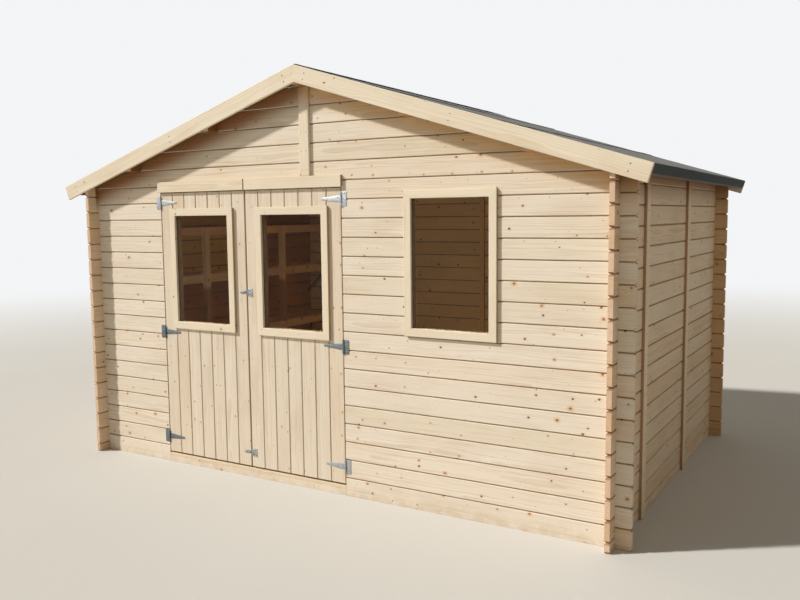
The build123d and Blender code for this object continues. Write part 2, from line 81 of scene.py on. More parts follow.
class Graph:
    """Adds and links the shader nodes of a material or a world."""

    def __init__(self, owner):
        owner.use_nodes = True
        self.owner, self.tree = owner, owner.node_tree
        self.shader = self.tree.nodes.get("Principled BSDF") or self.tree.nodes["Background"]
        self.output = next(n for n in self.tree.nodes if n.type.startswith("OUTPUT"))

    def node(self, kind, **settings):
        made = self.tree.nodes.new(kind)
        for key, value in settings.items():
            setattr(made, key, value)
        return made

    def put(self, socket, value):
        """Links a socket to another, or sets its constant."""
        if isinstance(value, bpy.types.NodeSocket):
            self.tree.links.new(value, socket)
        elif value is not None:
            socket.default_value = (*value, 1.0) if socket.type == "RGBA" else value

    def feed(self, node, values):
        """Gives a node its inputs, as a list from the first on or by name."""
        pairs = values.items() if isinstance(values, dict) else enumerate(values)
        for key, value in pairs:
            self.put(node.inputs[key], value)
        return node

    def surface(self, values):
        self.feed(self.shader, values)
        return self.owner

    def math(self, operation, *values, clamp=False):
        return self.feed(self.node("ShaderNodeMath", operation=operation, use_clamp=clamp), values).outputs[0]

    def times(self, first, *others):
        for value in others:
            first = self.math("MULTIPLY", first, value)
        return first

    def plus(self, a, b, clamp=False):
        return self.math("ADD", a, b, clamp=clamp)

    def minus(self, a, b, clamp=False):
        return self.math("SUBTRACT", a, b, clamp=clamp)

    def above(self, a, b):
        return self.math("GREATER_THAN", a, b)

    def below(self, a, b):
        return self.math("LESS_THAN", a, b)

    def vector(self, operation, *values):
        return self.feed(self.node("ShaderNodeVectorMath", operation=operation), values)

    def combine(self, *values):
        return self.feed(self.node("ShaderNodeCombineXYZ"), values).outputs[0]

    def split(self, vector):
        return self.feed(self.node("ShaderNodeSeparateXYZ"), [vector]).outputs

    def place(self):
        return self.node("ShaderNodeTexCoord").outputs["Object"]

    def attribute(self, name):
        return self.node("ShaderNodeAttribute", attribute_name=name).outputs

    def noise(self, vector, scale, detail=2.0, rough=0.5):
        values = {"Vector": vector, "Scale": scale, "Detail": detail, "Roughness": rough}
        return self.feed(self.node("ShaderNodeTexNoise"), values).outputs["Fac"]

    def voronoi(self, vector, scale, randomness=1.0, dimensions="3D"):
        made = self.node("ShaderNodeTexVoronoi", voronoi_dimensions=dimensions)
        return self.feed(made, {"Vector": vector, "Scale": scale, "Randomness": randomness}).outputs

    def ramp(self, value, low, high, out_low=0.0, out_high=1.0):
        made = self.node("ShaderNodeMapRange", interpolation_type="SMOOTHSTEP")
        return self.feed(made, (value, low, high, out_low, out_high)).outputs[0]

    def mix(self, amount, a, b, blend="MIX"):
        made = self.node("ShaderNodeMix", data_type="RGBA", blend_type=blend)
        return self.feed(made, {0: amount, 6: a, 7: b}).outputs[2]

    def stain_and_shade(self, tint, amount, shade):
        """A tint multiplied by a colour, by an amount, for stains and for painted shade."""
        return self.mix(amount, tint, shade, "MULTIPLY")

    def bump(self, height, distance, strength):
        values = {"Strength": strength, "Distance": distance, "Height": height}
        return self.feed(self.node("ShaderNodeBump"), values).outputs[0]

    def blend(self, amount, first, second):
        """Shows one shader or another at the output."""
        made = self.feed(self.node("ShaderNodeMixShader"), (amount, first, second))
        self.put(self.output.inputs["Surface"], made.outputs[0])

    def seen(self):
        """1 for what the camera sees, also through or in glass, and 0 for what gives light."""
        rays = self.node("ShaderNodeLightPath").outputs
        glassy = self.plus(rays["Is Glossy Ray"], rays["Is Transmission Ray"])
        return self.plus(rays["Is Camera Ray"], glassy, clamp=True)


def material(name):
    return Graph(bpy.data.materials.new(name))


def knots_at(g, along, across, cell, share, small, large):
    """Round knots, straight through the board, in cells of a length and width in metres."""
    place = g.vector("MULTIPLY", g.combine(along, across, 0.0), (1 / cell[0], 1 / cell[1], 1.0)).outputs[0]
    made = g.voronoi(place, 1.0, 0.9, "2D")
    offset = g.vector("SUBTRACT", place, made["Position"]).outputs[0]
    x, y, _ = g.split(g.vector("MULTIPLY", offset, (*cell, 0.0)).outputs[0])
    x = g.times(x, 0.8)
    distance = g.math("SQRT", g.plus(g.times(x, x), g.times(y, y)))
    chance, size, kind = g.split(made["Color"])
    return distance, g.ramp(size, 0.0, 1.0, small, large), y, g.below(chance, share), kind


def softwood(g, along, across, deep, knots, red):
    """Where the dark rings and fibres lie, and the knots that the rings bend round. Knots are cell length,
    cell width, share, least and most radius, and red is the share of them that is reddish."""
    distance, radius, offset, present, kind = knots_at(g, along, across, knots[:2], *knots[2:])
    wobble = g.times(g.minus(g.noise(g.combine(along, across, 0.0), 160.0), 0.5), 0.003)
    distance = g.plus(distance, wobble)
    reddish = g.times(present, g.below(kind, red))
    core = g.times(present, g.ramp(distance, g.plus(radius, 0.0008), g.minus(radius, 0.0016)))
    heart = g.times(present, g.ramp(distance, g.times(radius, 0.8), g.times(radius, 0.25)))
    halo = g.times(present, g.ramp(distance, g.times(radius, 3.4), g.times(radius, 0.9)))
    reach, radius, _, present, _ = knots_at(g, along, across, (0.085, 0.048), knots[2] * 0.45, 0.0016, 0.0032)
    pin = g.times(present, g.ramp(reach, radius, g.minus(radius, 0.0011)))

    bend = g.times(halo, offset, -0.55)
    slow = g.combine(g.times(along, 0.35), across, deep)
    off_axis = g.plus(g.plus(across, bend), g.times(g.noise(slow, 2.2), 0.10))
    depth = g.math("MULTIPLY_ADD", g.noise(slow, 9.0), 0.012, deep)
    pith = g.math("SQRT", g.plus(g.times(off_axis, off_axis), g.times(depth, depth)))
    ring = g.math("FRACT", g.times(pith, 130.0))
    late = g.times(g.ramp(ring, 0.30, 0.92), g.ramp(ring, 1.0, 0.95))
    fibre = g.noise(g.combine(g.times(along, 0.03), across, deep), 900.0, 3.0, 0.6)
    streak = g.noise(g.combine(g.times(along, 0.04), g.plus(across, bend), deep), 75.0, 3.0, 0.6)
    broad = g.noise(slow, 5.0, 3.0, 0.55)
    dark = g.times(late, 0.36)
    dark = g.plus(dark, g.times(g.ramp(streak, 0.46, 0.74), 0.36))
    dark = g.plus(dark, g.times(g.ramp(fibre, 0.5, 0.8), 0.18))
    dark = g.plus(dark, g.times(g.ramp(broad, 0.48, 0.72), 0.30), clamp=True)
    return dark, late, fibre, (core, heart, halo, pin, reddish)


def indoor_tone_and_painted_shade(g, tint, dark, place, verge):
    """The warmer tone of wood indoors, painted shade on the inner side walls and painted light on them above
    the middle shelf, and painted shade under the eaves and the verges. With verge, that reaches to the edge
    of the roof boards."""
    x, y, height = g.split(place)
    x_out, y_out, _ = g.split(g.vector("ABSOLUTE", place).outputs[0])
    indoors = g.times(g.below(x_out, WALL_IN + 0.004), g.below(y_out, GABLE_IN + 0.004))
    gable = g.mix(dark, (1.0, 0.80, 0.45), (0.92, 0.64, 0.32))
    # painted light: the inner side walls are lighter above the middle shelf, towards the front
    over_shelf = g.times(g.above(height, SHELVES[1] - 0.009), g.ramp(y, 0.7, 0.4))
    # painted shade: elsewhere the inner side walls are darker and warmer
    low = g.mix(dark, (0.70, 0.36, 0.11), (0.53, 0.25, 0.07))
    side = g.mix(over_shelf, low, g.mix(dark, (1.0, 0.82, 0.26), (0.90, 0.62, 0.18)))
    tint = g.mix(indoors, tint, g.mix(g.above(x_out, WALL_IN - 0.007), gable, side))

    # painted shade under the eaves, on the side walls' outer faces and the log ends and battens beside them
    beyond = g.times(g.above(x_out, WALL_OUT - HAIR), g.below(y_out, GABLE_OUT + LOG_END - 0.001))
    tint = g.stain_and_shade(tint, g.times(beyond, g.ramp(height, 1.74, 2.00, 0.0, 0.95)), (0.34, 0.18, 0.03))

    # painted shade on the gables under the verges, much darker and redder on the left side than on the right
    drop = g.minus(g.math("MULTIPLY_ADD", x_out, -math.tan(PITCH), APEX), height)
    limit = VERGE - HAIR if verge else GABLE_OUT + 0.022
    outdoors = g.times(g.above(y_out, GABLE_OUT - HAIR), g.below(y_out, limit))
    warm = g.mix(g.ramp(x, 0.1, -0.1), (0.90, 0.68, 0.40), (0.36, 0.165, 0.045))
    return g.stain_and_shade(tint, g.times(outdoors, g.ramp(drop, 0.25, 0.09, 0.0, 0.95)), warm)


def timber_material(name, pale, dark, knots=(0.17, 0.062, 0.36, 0.0032, 0.0068), red=0.35, rough=0.62,
                    joint=0.9, toned_and_shaded=False, verge=False, shaded_below_shelf=False):
    """Planed softwood with growth rings, fibre and knots, a tone for each board, dark joints and a little
    splashed dirt at the foot, and painted shade on the darkest tones, on darkened ends and on narrow sides.
    Inside wood can take painted shade between the lower two shelves."""
    g = material(name)
    along, across, deep = g.split(g.attribute("grain")["Vector"])
    tone, end = g.attribute("tone")["Fac"], g.attribute("end_grain")["Fac"]
    side_only = g.minus(1.0, end, clamp=True)
    recess = g.times(g.math("POWER", g.attribute("recess")["Fac"], 1.7), side_only)
    amount, late, fibre, (core, heart, halo, pin, reddish) = softwood(g, along, across, deep, knots, red)
    place = g.place()
    height = g.split(place)[2]
    tint = g.mix(amount, pale, dark)
    if toned_and_shaded:
        tint = indoor_tone_and_painted_shade(g, tint, amount, place, verge)
    if shaded_below_shelf:
        # painted shade, fading down from under the middle shelf's lip, and stopping at the lowest shelf
        under_lip = SHELVES[1] - SHELF_LIP
        below_lip = g.ramp(height, under_lip - 0.004, under_lip - 0.069)
        over_shelf = g.above(height, SHELVES[0] + 0.005)
        tint = g.stain_and_shade(tint, g.times(below_lip, over_shelf), (0.60, 0.46, 0.35))
    tint = g.stain_and_shade(tint, g.ramp(tone, 0.6, 1.0, 0.0, 0.8), (0.97, 0.88, 0.77))
    tint = g.stain_and_shade(tint, g.ramp(tone, 0.4, 0.0, 0.0, 0.8), (0.93, 0.91, 0.84))
    # tones from 1.2 up: darker, warmer wood, which is painted shade
    tint = g.stain_and_shade(tint, g.ramp(tone, 1.2, 2.0), (0.84, 0.68, 0.50))
    tint = g.stain_and_shade(tint, g.times(end, 0.85), (0.95, 0.86, 0.82))
    # darkened ends: dark joints at rounded log-end corners, and painted shade on chosen ends
    tint = g.stain_and_shade(tint, g.ramp(end, 1.2, 1.8, 0.0, 0.8), (0.42, 0.28, 0.18))
    glow = g.times(halo, side_only, g.math("MULTIPLY_ADD", reddish, 0.5, 0.18))
    tint = g.stain_and_shade(tint, glow, (0.88, 0.58, 0.34))
    knot = g.mix(reddish, (0.150, 0.088, 0.050), (0.30, 0.135, 0.062))
    knot = g.mix(g.times(heart, 0.7), knot, (0.085, 0.050, 0.030))
    tint = g.mix(g.times(core, side_only, 0.9), tint, knot)
    tint = g.mix(g.times(pin, side_only, 0.8), tint, (0.16, 0.095, 0.055))
    # dark V joints, and painted shade on the narrow sides that dark_edges marks
    tint = g.stain_and_shade(tint, g.times(recess, joint), (0.50, 0.36, 0.25))
    foot = g.times(g.ramp(height, 0.10, 0.0), g.ramp(g.noise(place, 14.0, 4.0, 0.65), 0.30, 0.66))
    tint = g.stain_and_shade(tint, g.times(foot, 0.45), (0.72, 0.60, 0.46))
    relief = g.minus(g.plus(g.times(late, 0.5), g.times(fibre, 0.6)), g.times(core, 0.5))
    return g.surface({
        "Base Color": tint, "Roughness": g.math("MULTIPLY_ADD", amount, 0.16, rough),
        "Specular IOR Level": 0.35, "Normal": g.bump(relief, 0.0006, 0.55)})


def felt_material():
    """Mineral roofing felt: fine pale and dark granules on a dark sheet, faded unevenly, with dark seams
    along the laps and painted shade on the fold."""
    g = material("roof_felt")
    place = g.place()
    grit = g.voronoi(place, 520.0)
    patch, fine = g.noise(place, 3.0, 4.0, 0.6), g.noise(place, 160.0, 3.0, 0.7)
    tint = g.mix(g.ramp(g.split(grit["Color"])[0], 0.55, 1.0), (0.150, 0.148, 0.143), (0.380, 0.372, 0.355))
    tint = g.mix(g.ramp(fine, 0.35, 0.7, 0.0, 0.55), tint, (0.095, 0.095, 0.093))
    tint = g.mix(g.ramp(patch, 0.35, 0.7, 0.0, 0.35), tint, (0.250, 0.245, 0.232))
    x, y, _ = g.split(place)
    wander = g.times(g.minus(g.noise(g.combine(0.0, y, 0.0), 14.0, 3.0, 0.6), 0.5), 0.012)
    down = g.math("MULTIPLY_ADD", g.math("ABSOLUTE", x), 1 / math.cos(PITCH), -0.0065)
    for lap in LAPS:
        past = g.minus(down, lap)
        seam = g.times(g.above(past, -0.001), g.ramp(g.plus(past, wander), 0.016, 0.006), 0.8)
        tint = g.mix(seam, tint, (0.045, 0.044, 0.043))
    # painted shade: the fold and other steep faces are darker
    upward = g.split(g.node("ShaderNodeNewGeometry").outputs["True Normal"])[2]
    tint = g.stain_and_shade(tint, g.ramp(upward, 0.8, 0.4), (0.155, 0.195, 0.185))
    height = g.plus(g.times(grit["Distance"], 0.6), g.times(fine, 0.5))
    return g.surface({
        "Base Color": tint, "Roughness": g.ramp(fine, 0.3, 0.7, 0.82, 0.98),
        "Specular IOR Level": 0.3, "Normal": g.bump(height, 0.0009, 0.5)})


def galvanized_material():
    """Galvanized steel: zinc with spangle, scuffs and darker blotches, bright or dull by its tone, which on
    the hinges is painted reflection.
    """
    g = material("galvanized")
    place = g.place()
    shade = g.ramp(g.split(g.voronoi(place, 260.0)["Color"])[1], 0.1, 0.9)
    patch = g.noise(place, 45.0, 4.0, 0.6)
    scratch = g.noise(g.vector("MULTIPLY", place, (40.0, 40.0, 700.0)).outputs[0], 1.0)
    dull = g.mix(shade, (0.085, 0.105, 0.115), (0.185, 0.210, 0.220))
    bright = g.mix(shade, (0.46, 0.49, 0.51), (0.68, 0.70, 0.71))
    tint = g.mix(g.attribute("tone")["Fac"], dull, bright)
    tint = g.stain_and_shade(tint, g.ramp(patch, 0.5, 0.75, 0.0, 0.5), (0.62, 0.64, 0.66))
    height = g.plus(g.times(patch, 0.5), g.times(scratch, 0.2))
    return g.surface({
        "Base Color": tint, "Metallic": 0.85, "Roughness": g.math("MULTIPLY_ADD", patch, 0.22, 0.30),
        "Normal": g.bump(height, 0.0004, 0.5)})


def screw_material():
    """Zinc screw heads, a little tarnished."""
    g = material("screw_zinc")
    patch = g.noise(g.place(), 90.0, 3.0, 0.6)
    return g.surface({
        "Base Color": g.mix(patch, (0.20, 0.19, 0.17), (0.42, 0.40, 0.36)), "Metallic": 0.8,
        "Roughness": g.math("MULTIPLY_ADD", patch, 0.3, 0.3), "Normal": g.bump(patch, 0.0003, 0.5)})


def glass_material():
    """Clear pane with a faint tint, a slight waviness and patches of dust, that lets light through."""
    g = material("pane_glass")
    place = g.place()
    dust = g.noise(place, 9.0, 4.0, 0.6)
    g.surface({
        "Base Color": g.mix(g.ramp(dust, 0.3, 0.8), (1.0, 0.97, 0.90), (0.97, 0.94, 0.87)),
        "Transmission Weight": 1.0, "IOR": 1.15, "Roughness": g.ramp(dust, 0.45, 0.9, 0.0, 0.06),
        "Normal": g.bump(g.noise(place, 2.2, 2.0, 0.4), 0.004, 0.12)})
    clear = g.feed(g.node("ShaderNodeBsdfTransparent"), [(0.98, 0.96, 0.92)])
    g.blend(g.node("ShaderNodeLightPath").outputs["Is Shadow Ray"], g.shader.outputs[0], clear.outputs[0])
    return g.owner


# knots of each kind of board, as softwood takes them
LEAF_KNOTS, TRIM_KNOTS = (0.13, 0.056, 0.30, 0.0018, 0.0038), (0.30, 0.070, 0.30, 0.0030, 0.0060)
LINING_KNOTS = (0.30, 0.070, 0.20, 0.0030, 0.0050)
WALL_WOOD = timber_material("wall_timber", (0.785, 0.700, 0.580), (0.610, 0.485, 0.345), toned_and_shaded=True)
DOOR_WOOD = timber_material(
    "door_timber", (0.745, 0.655, 0.530), (0.570, 0.445, 0.310), LEAF_KNOTS, 0.50, joint=0.55)
TRIM_WOOD = timber_material(
    "trim_timber", (0.785, 0.685, 0.535), (0.640, 0.510, 0.345), TRIM_KNOTS, 0.25, toned_and_shaded=True)
BATTEN_WOOD = timber_material(
    "batten_timber", (0.790, 0.660, 0.490), (0.610, 0.460, 0.290), TRIM_KNOTS, 0.25, toned_and_shaded=True)
# the lining is dark brown as painted shade in the reveals round the panes
LINING_WOOD = timber_material(
    "lining_timber", (0.230, 0.145, 0.080), (0.150, 0.090, 0.048), LINING_KNOTS, 0.5)
# the eave strips are near black as painted shade under the eaves
EAVE_WOOD = timber_material("eave_timber", (0.095, 0.060, 0.028), (0.060, 0.036, 0.016), red=0.5)
INSIDE_WOOD = timber_material("inside_timber", (0.970, 0.725, 0.400), (0.850, 0.560, 0.270), shaded_below_shelf=True)
ROOF_WOOD = timber_material(
    "roof_timber", (0.660, 0.500, 0.320), (0.480, 0.320, 0.170), rough=0.72, toned_and_shaded=True, verge=True)
FELT = felt_material()
ZINC = galvanized_material()
SCREW = screw_material()
GLASS = glass_material()


# Mesh tools

def finish_piece(mesh, body, slot, *nodes):
    mesh.validate()
    mesh.update()
    obj = bpy.data.objects.new(mesh.name, mesh)
    bpy.context.scene.collection.objects.link(obj)
    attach(obj, body)
    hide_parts(*nodes)


def glaze(node):
    """Gives a pane, kept from the CAD, its material."""
    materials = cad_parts[node].data.materials
    materials.clear()
    materials.append(GLASS)


def store(mesh, name, values, domain="POINT"):
    """Keeps a number or a vector for each point or face, for the materials to read."""
    values = np.array(values, np.float32)
    kind, field = ("FLOAT", "value") if values.ndim == 1 else ("FLOAT_VECTOR", "vector")
    mesh.attributes.new(name, kind, domain).data.foreach_set(field, values.ravel())


def bridge(bm, loops):
    """Faces between rings of points, and over the first and last ring."""
    for a, b in zip(loops, loops[1:]):
        for i in range(len(a)):
            j = (i + 1) % len(a)
            bm.faces.new((a[i], a[j], b[j], b[i]))
    bm.faces.new(loops[0][::-1])
    bm.faces.new(loops[-1])


def circle(bm, centre, side, other, radius, sides):
    turns = [2 * math.pi * i / sides for i in range(sides)]
    return [bm.verts.new(centre + side * radius * math.cos(t) + other * radius * math.sin(t)) for t in turns]


ORDERS = {"x": (0, 1, 2), "y": (1, 2, 0), "z": (2, 0, 1)}
# the third kind darkens rounded log-end corners as dark joints, and chosen ends as painted shade
SIDE_FACE, END_FACE, DARKENED_END = 0.0, 1.0, 2.0


class Timber:
    """Planks of one piece, each with its own grain, joined into one mesh."""

    def __init__(self, seed):
        self.random = random.Random(seed)
        self.points, self.grain, self.tone, self.recess = [], [], [], []
        self.faces, self.end, self.slots = [], [], []

    def look(self, least=0.0, spread=1.0):
        """A grain offset and a tone for one plank."""
        r = self.random
        side = r.choice((-1, 1))
        along, across, deep = r.uniform(0, 60), r.uniform(-0.07, 0.07), side * r.uniform(0.02, 0.11)
        return along, across, deep, least + spread * r.random()

    def plank(self, low, high, along="x", chamfer=0.002, cuts=(), look=None, turn=None, segments=1,
              dark_edges="", dark_ends=False):
        """A chamfered board between two corners, cut by planes given as (point, outward normal).
        With turn, the corners are in the frame of that matrix. dark_edges ("both" or "high") darkens its
        narrow sides and dark_ends its ends, as painted shade."""
        low, high = Vector(low), Vector(high)
        size = high - low
        bm = bmesh.new()
        bmesh.ops.create_cube(bm, size=1.0)
        bmesh.ops.scale(bm, vec=size, verts=bm.verts)
        chamfer = min(chamfer, min(size) * 0.45)
        bmesh.ops.bevel(
            bm, geom=list(bm.edges), offset=chamfer, segments=segments, profile=0.5, affect="EDGES")
        bmesh.ops.translate(bm, vec=(low + high) / 2, verts=bm.verts)
        _, wide, thin = ORDERS[along]
        if size[wide] < size[thin]:
            wide = thin
        # the narrow sides take the darkening of the grooves, as painted shade
        first = low[wide] if dark_edges == "both" else low[wide] - 1.0
        shaded_sides = (wide, first, high[wide], (chamfer, 0.0), (chamfer, 0.0)) if dark_edges else None
        self.keep(bm, low, high, along, cuts, look, turn, shaded_sides, dark_ends)

    def joined(self, low, high, along="x", groove=(0.0065, 0.0014, 0.010), plain=(False, False), cuts=(),
               look=None, turn=None, edge=0.0015):
        """A board whose long edges meet its neighbours in a V groove with a narrow slot behind it.
        The groove is (V, half slot, depth); plain leaves the low or the high edge without one."""
        low, high = Vector(low), Vector(high)
        run, wide, thin = ORDERS[along]
        if high[wide] - low[wide] < high[thin] - low[thin]:
            wide, thin = thin, wide
        v, slot, deep = groove
        t0, t1, w0, w1 = low[thin], high[thin], low[wide], high[wide]
        deep = min(deep, (t1 - t0) * 0.4)

        def profile(w, way, smooth):
            """Points along one edge of the section, from its low face to its high one."""
            if smooth:
                return [(t0, w + way * edge), (t0 + edge, w), (t1 - edge, w), (t1, w + way * edge)]
            lip, gap = w + way * v, w + way * slot
            points = [(t0, lip), (t0 + v * 0.9, gap), (t0 + deep, gap), (t0 + deep, w)]
            return points + [(t1 - deep, w), (t1 - deep, gap), (t1 - v * 0.9, gap), (t1, lip)]

        outline = profile(w0, 1, plain[0]) + profile(w1, -1, plain[1])[::-1]
        grooves = (wide, w0, w1, *((0.8 * edge, 0.0) if side else (v, slot) for side in plain))
        bm = bmesh.new()
        ends = []
        for a in (low[run], high[run]):
            loop = []
            for t, w in outline:
                place = [0.0, 0.0, 0.0]
                place[run], place[wide], place[thin] = a, w, t
                loop.append(bm.verts.new(place))
            ends.append(loop)
        bm.faces.new(ends[0])
        bm.faces.new(ends[1][::-1])
        for i in range(len(outline)):
            j = (i + 1) % len(outline)
            bm.faces.new((ends[0][i], ends[1][i], ends[1][j], ends[0][j]))
        self.keep(bm, low, high, along, cuts, look, turn, grooves)

    def keep(self, bm, low, high, along, cuts, look, turn, grooves=None, dark_ends=False):
        """Cuts a board and stores its mesh with its grain."""
        turn = turn or Matrix.Identity(4)
        bmesh.ops.transform(bm, matrix=turn, verts=bm.verts)
        for point, normal in cuts:
            whole = list(bm.verts) + list(bm.edges) + list(bm.faces)
            made = bmesh.ops.bisect_plane(
                bm, geom=whole, plane_co=Vector(point), plane_no=Vector(normal), clear_outer=True)
            rim = [e for e in made["geom_cut"] if isinstance(e, bmesh.types.BMEdge) and e.is_boundary]
            if rim:
                bmesh.ops.edgenet_fill(bm, edges=rim)
        bmesh.ops.remove_doubles(bm, verts=bm.verts, dist=1e-6)
        bmesh.ops.recalc_face_normals(bm, faces=bm.faces)
        run, wide, thin = ORDERS[along]
        size, middle = high - low, (low + high) / 2
        if size[wide] < size[thin]:
            wide, thin = thin, wide
        back, axis = turn.inverted(), turn.to_3x3() @ (X, Y, Z)[run]
        shift = look or self.look()
        start = len(self.points)
        for v in bm.verts:
            local = back @ v.co
            self.points.append(v.co[:])
            across, deep = local[wide] - middle[wide], local[thin] - middle[thin]
            self.grain.append((local[run] + shift[0], across + shift[1], deep + shift[2]))
            self.tone.append(shift[3])
            self.recess.append(self.depth_in(local, grooves))
        bm.verts.index_update()
        for f in bm.faces:
            self.faces.append([v.index + start for v in f.verts])
            lean = abs(f.normal.dot(axis))
            kind = END_FACE if lean > 0.85 else SIDE_FACE
            # rounded corners at the log ends' joints are darkened as dark joints; with dark_ends, the ends as
            # painted shade
            cut_corner = grooves is not None and 0.4 < lean < 0.85 and f.normal.z ** 2 > 0.1
            self.end.append(DARKENED_END if cut_corner or (dark_ends and kind == END_FACE) else kind)
            self.slots.append(0)
        bm.free()

    @staticmethod
    def depth_in(point, grooves):
        """0 on a board's face, 1 at the bottom of its V grooves and on sides darkened as painted shade."""
        if grooves is None:
            return 0.0
        wide, low, high, at_low, at_high = grooves
        return max([0.0] + [
            min(1.0, (v - abs(point[wide] - place)) / (v - slot))
            for place, (v, slot) in ((low, at_low), (high, at_high))])

    def screw(self, place, normal, radius=0.0042, proud=0.0006, count=16):
        """A countersunk head with a cross recess, let into the wood."""
        place, normal = Vector(place), Vector(normal).normalized()
        side = normal.orthogonal().normalized()
        other = normal.cross(side)
        start = len(self.points)
        rings = (
            (radius, 0.0), (radius * 0.92, proud), (radius * 0.55, proud), (radius * 0.3, -radius * 0.25))
        for r, height in rings:
            for i in range(count):
                turn = 2 * math.pi * i / count
                reach = r * (0.55 if r < radius * 0.6 and i % 4 == 2 else 1.0)
                point = place + side * reach * math.cos(turn) + other * reach * math.sin(turn)
                self.points.append((point + normal * height)[:])
        added = len(rings) * count
        self.grain += [(0.0, 0.0, 0.0)] * added
        self.tone += [0.5] * added
        self.recess += [0.0] * added
        last = start + added - count
        faces = []
        for ring in range(start, last, count):
            for i in range(count):
                a, b = ring + i, ring + (i + 1) % count
                faces.append([a, b, b + count, a + count])
        faces += [[last + i for i in range(count)], [start + i for i in reversed(range(count))]]
        self.faces += faces
        self.end += [SIDE_FACE] * len(faces)
        self.slots += [1] * len(faces)

    def piece(self, name, wood, body, slot, *nodes):
        mesh = bpy.data.meshes.new(name)
        mesh.from_pydata(self.points, [], self.faces)
        mesh.materials.append(wood)
        mesh.materials.append(SCREW)
        for field in ("grain", "tone", "recess"):
            store(mesh, field, getattr(self, field))
        store(mesh, "end_grain", self.end, "FACE")
        mesh.polygons.foreach_set("material_index", np.array(self.slots, np.int32))
        finish_piece(mesh, body, slot, *nodes)


def roof_cuts():
    """Planes along the underside of both slopes."""
    return [(RIDGE, SLOPE_UP), (RIDGE, Vector((-SLOPE_UP.x, 0, SLOPE_UP.z)))]


def round_ends(low_end, high_end, z0, z1, axis):
    """Cuts that take the corners off a board's ends, as seen from its side."""
    cuts = []
    for end, way in ((low_end, -1), (high_end, 1)):
        if end is None:
            continue
        for z, up in ((z0, -1), (z1, 1)):
            for back, inward in ((END_ROUND, 0.0), (END_ROUND * 0.32, END_ROUND * 0.32)):
                cuts.append((axis * (end - way * back) + Z * (z - up * inward), axis * way + Z * up))
    return cuts


# Walls

# Openings are (left, right, bottom, top)
DOORWAY = (-1.274, 0.262, 0.0, 1.9145)
SILL, SILL_BASE = 0.063, 0.043
HEAD = DOORWAY[3] + 0.072


def opening(node):
    low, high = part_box(node)
    return (low.x, high.x, low.z, high.z)


def split_courses(timber, y0, y1, holes):
    """Front or rear boards from the ground to the ridge, cut round the openings."""
    near = 1e-6
    course = 0
    while course * COURSE < APEX - 0.01:
        z0, z1 = course * COURSE, (course + 1) * COURSE
        look = timber.look(*WALL_TONE)
        crossing = [h for h in holes if h[2] < z1 - near and h[3] > z0 + near]
        edges = sorted({-WALL_IN, WALL_IN} | {x for h in crossing for x in h[:2]})
        top = roof_cuts() if z1 > ROOF_CUT else []
        corners = ((-WALL_IN, y0, z0), (WALL_IN, y1, z1))
        plain = (course == 0, False)
        for x0, x1 in zip(edges, edges[1:]):
            inside = [h for h in crossing if h[0] < (x0 + x1) / 2 < h[1]]
            cuts = list(top)
            if x0 > -WALL_IN + near:
                cuts.append(((x0, 0, 0), -X))
            if x1 < WALL_IN - near:
                cuts.append(((x1, 0, 0), X))
            ways = [] if inside else [[]]
            for hole in inside:
                if hole[2] > z0 + near:
                    ways.append([((0, 0, hole[2]), Z)])
                if hole[3] < z1 - near:
                    ways.append([((0, 0, hole[3]), -Z)])
            for way in ways:
                timber.joined(*corners, "x", plain=plain, cuts=cuts + way, look=look)
        course += 1


front = Timber(11)
split_courses(front, -GABLE_OUT, -GABLE_IN, [DOORWAY, opening("window_glass")])
front.piece(
    "front_wall", WALL_WOOD, "shed", "wall_boards",
    "front_wall_boards", "front_wall_at_window", "front_gable")

sill = Timber(12)
sill.plank((DOORWAY[0], -GABLE_OUT, 0), (DOORWAY[1], -GABLE_IN, SILL_BASE), "x", 0.0015)
sill.piece("front_sill", WALL_WOOD, "shed", "wall_boards", "front_wall_sill")

rear = Timber(13)
split_courses(rear, GABLE_IN, GABLE_OUT, [])
rear.piece("rear_gable_wall", WALL_WOOD, "shed", "wall_boards", "rear_wall")

ends = Timber(14)
for y0, y1 in ((-GABLE_OUT, -GABLE_IN), (GABLE_IN, GABLE_OUT)):
    for side in (-1, 1):
        # the rear and left log ends take darker tones as painted shade
        tone = REAR_END_TONE if y0 > 0 else LEFT_END_TONE if side < 0 else RIGHT_END_TONE
        low, high = sorted((side * WALL_OUT, side * (WALL_OUT + LOG_END)))
        course = 0
        while course * COURSE < EAVES:
            z0, z1 = course * COURSE, (course + 1) * COURSE
            cuts = round_ends(low if side < 0 else None, high if side > 0 else None, z0, z1, X)
            if z1 > ROOF_CUT:
                cuts += roof_cuts()
            corners = ((low, y0, z0), (high, y1, z1))
            ends.joined(*corners, "x", plain=(course == 0, False), cuts=cuts, look=ends.look(*tone))
            course += 1
ends.piece("crossed_log_ends", WALL_WOOD, "shed", "wall_boards", "log_ends")


def side_wall(seed, side, name, node):
    """A side wall, its courses half a board above those of the gables."""
    timber = Timber(seed)
    reach = GABLE_OUT + LOG_END
    x0, x1 = sorted((side * WALL_IN, side * WALL_OUT))
    heights = [0.0] + [COURSE / 2 + COURSE * k for k in range(18)]
    for z0, z1 in zip(heights, heights[1:]):
        top = []
        if z1 > EAVES - 0.001:
            z1 += 0.03
            top = roof_cuts()
        corners, cuts = ((x0, -reach, z0), (x1, reach, z1)), round_ends(-reach, reach, z0, z1, Y) + top
        # the side walls take darker tones as painted shade
        timber.joined(*corners, "y", plain=(z0 == 0, False), cuts=cuts, look=timber.look(*SIDE_TONE))
    timber.piece(name, WALL_WOOD, "shed", "wall_boards", node)


side_wall(15, -1, "left_side_wall", "left_wall")
side_wall(16, 1, "right_side_wall", "right_wall")

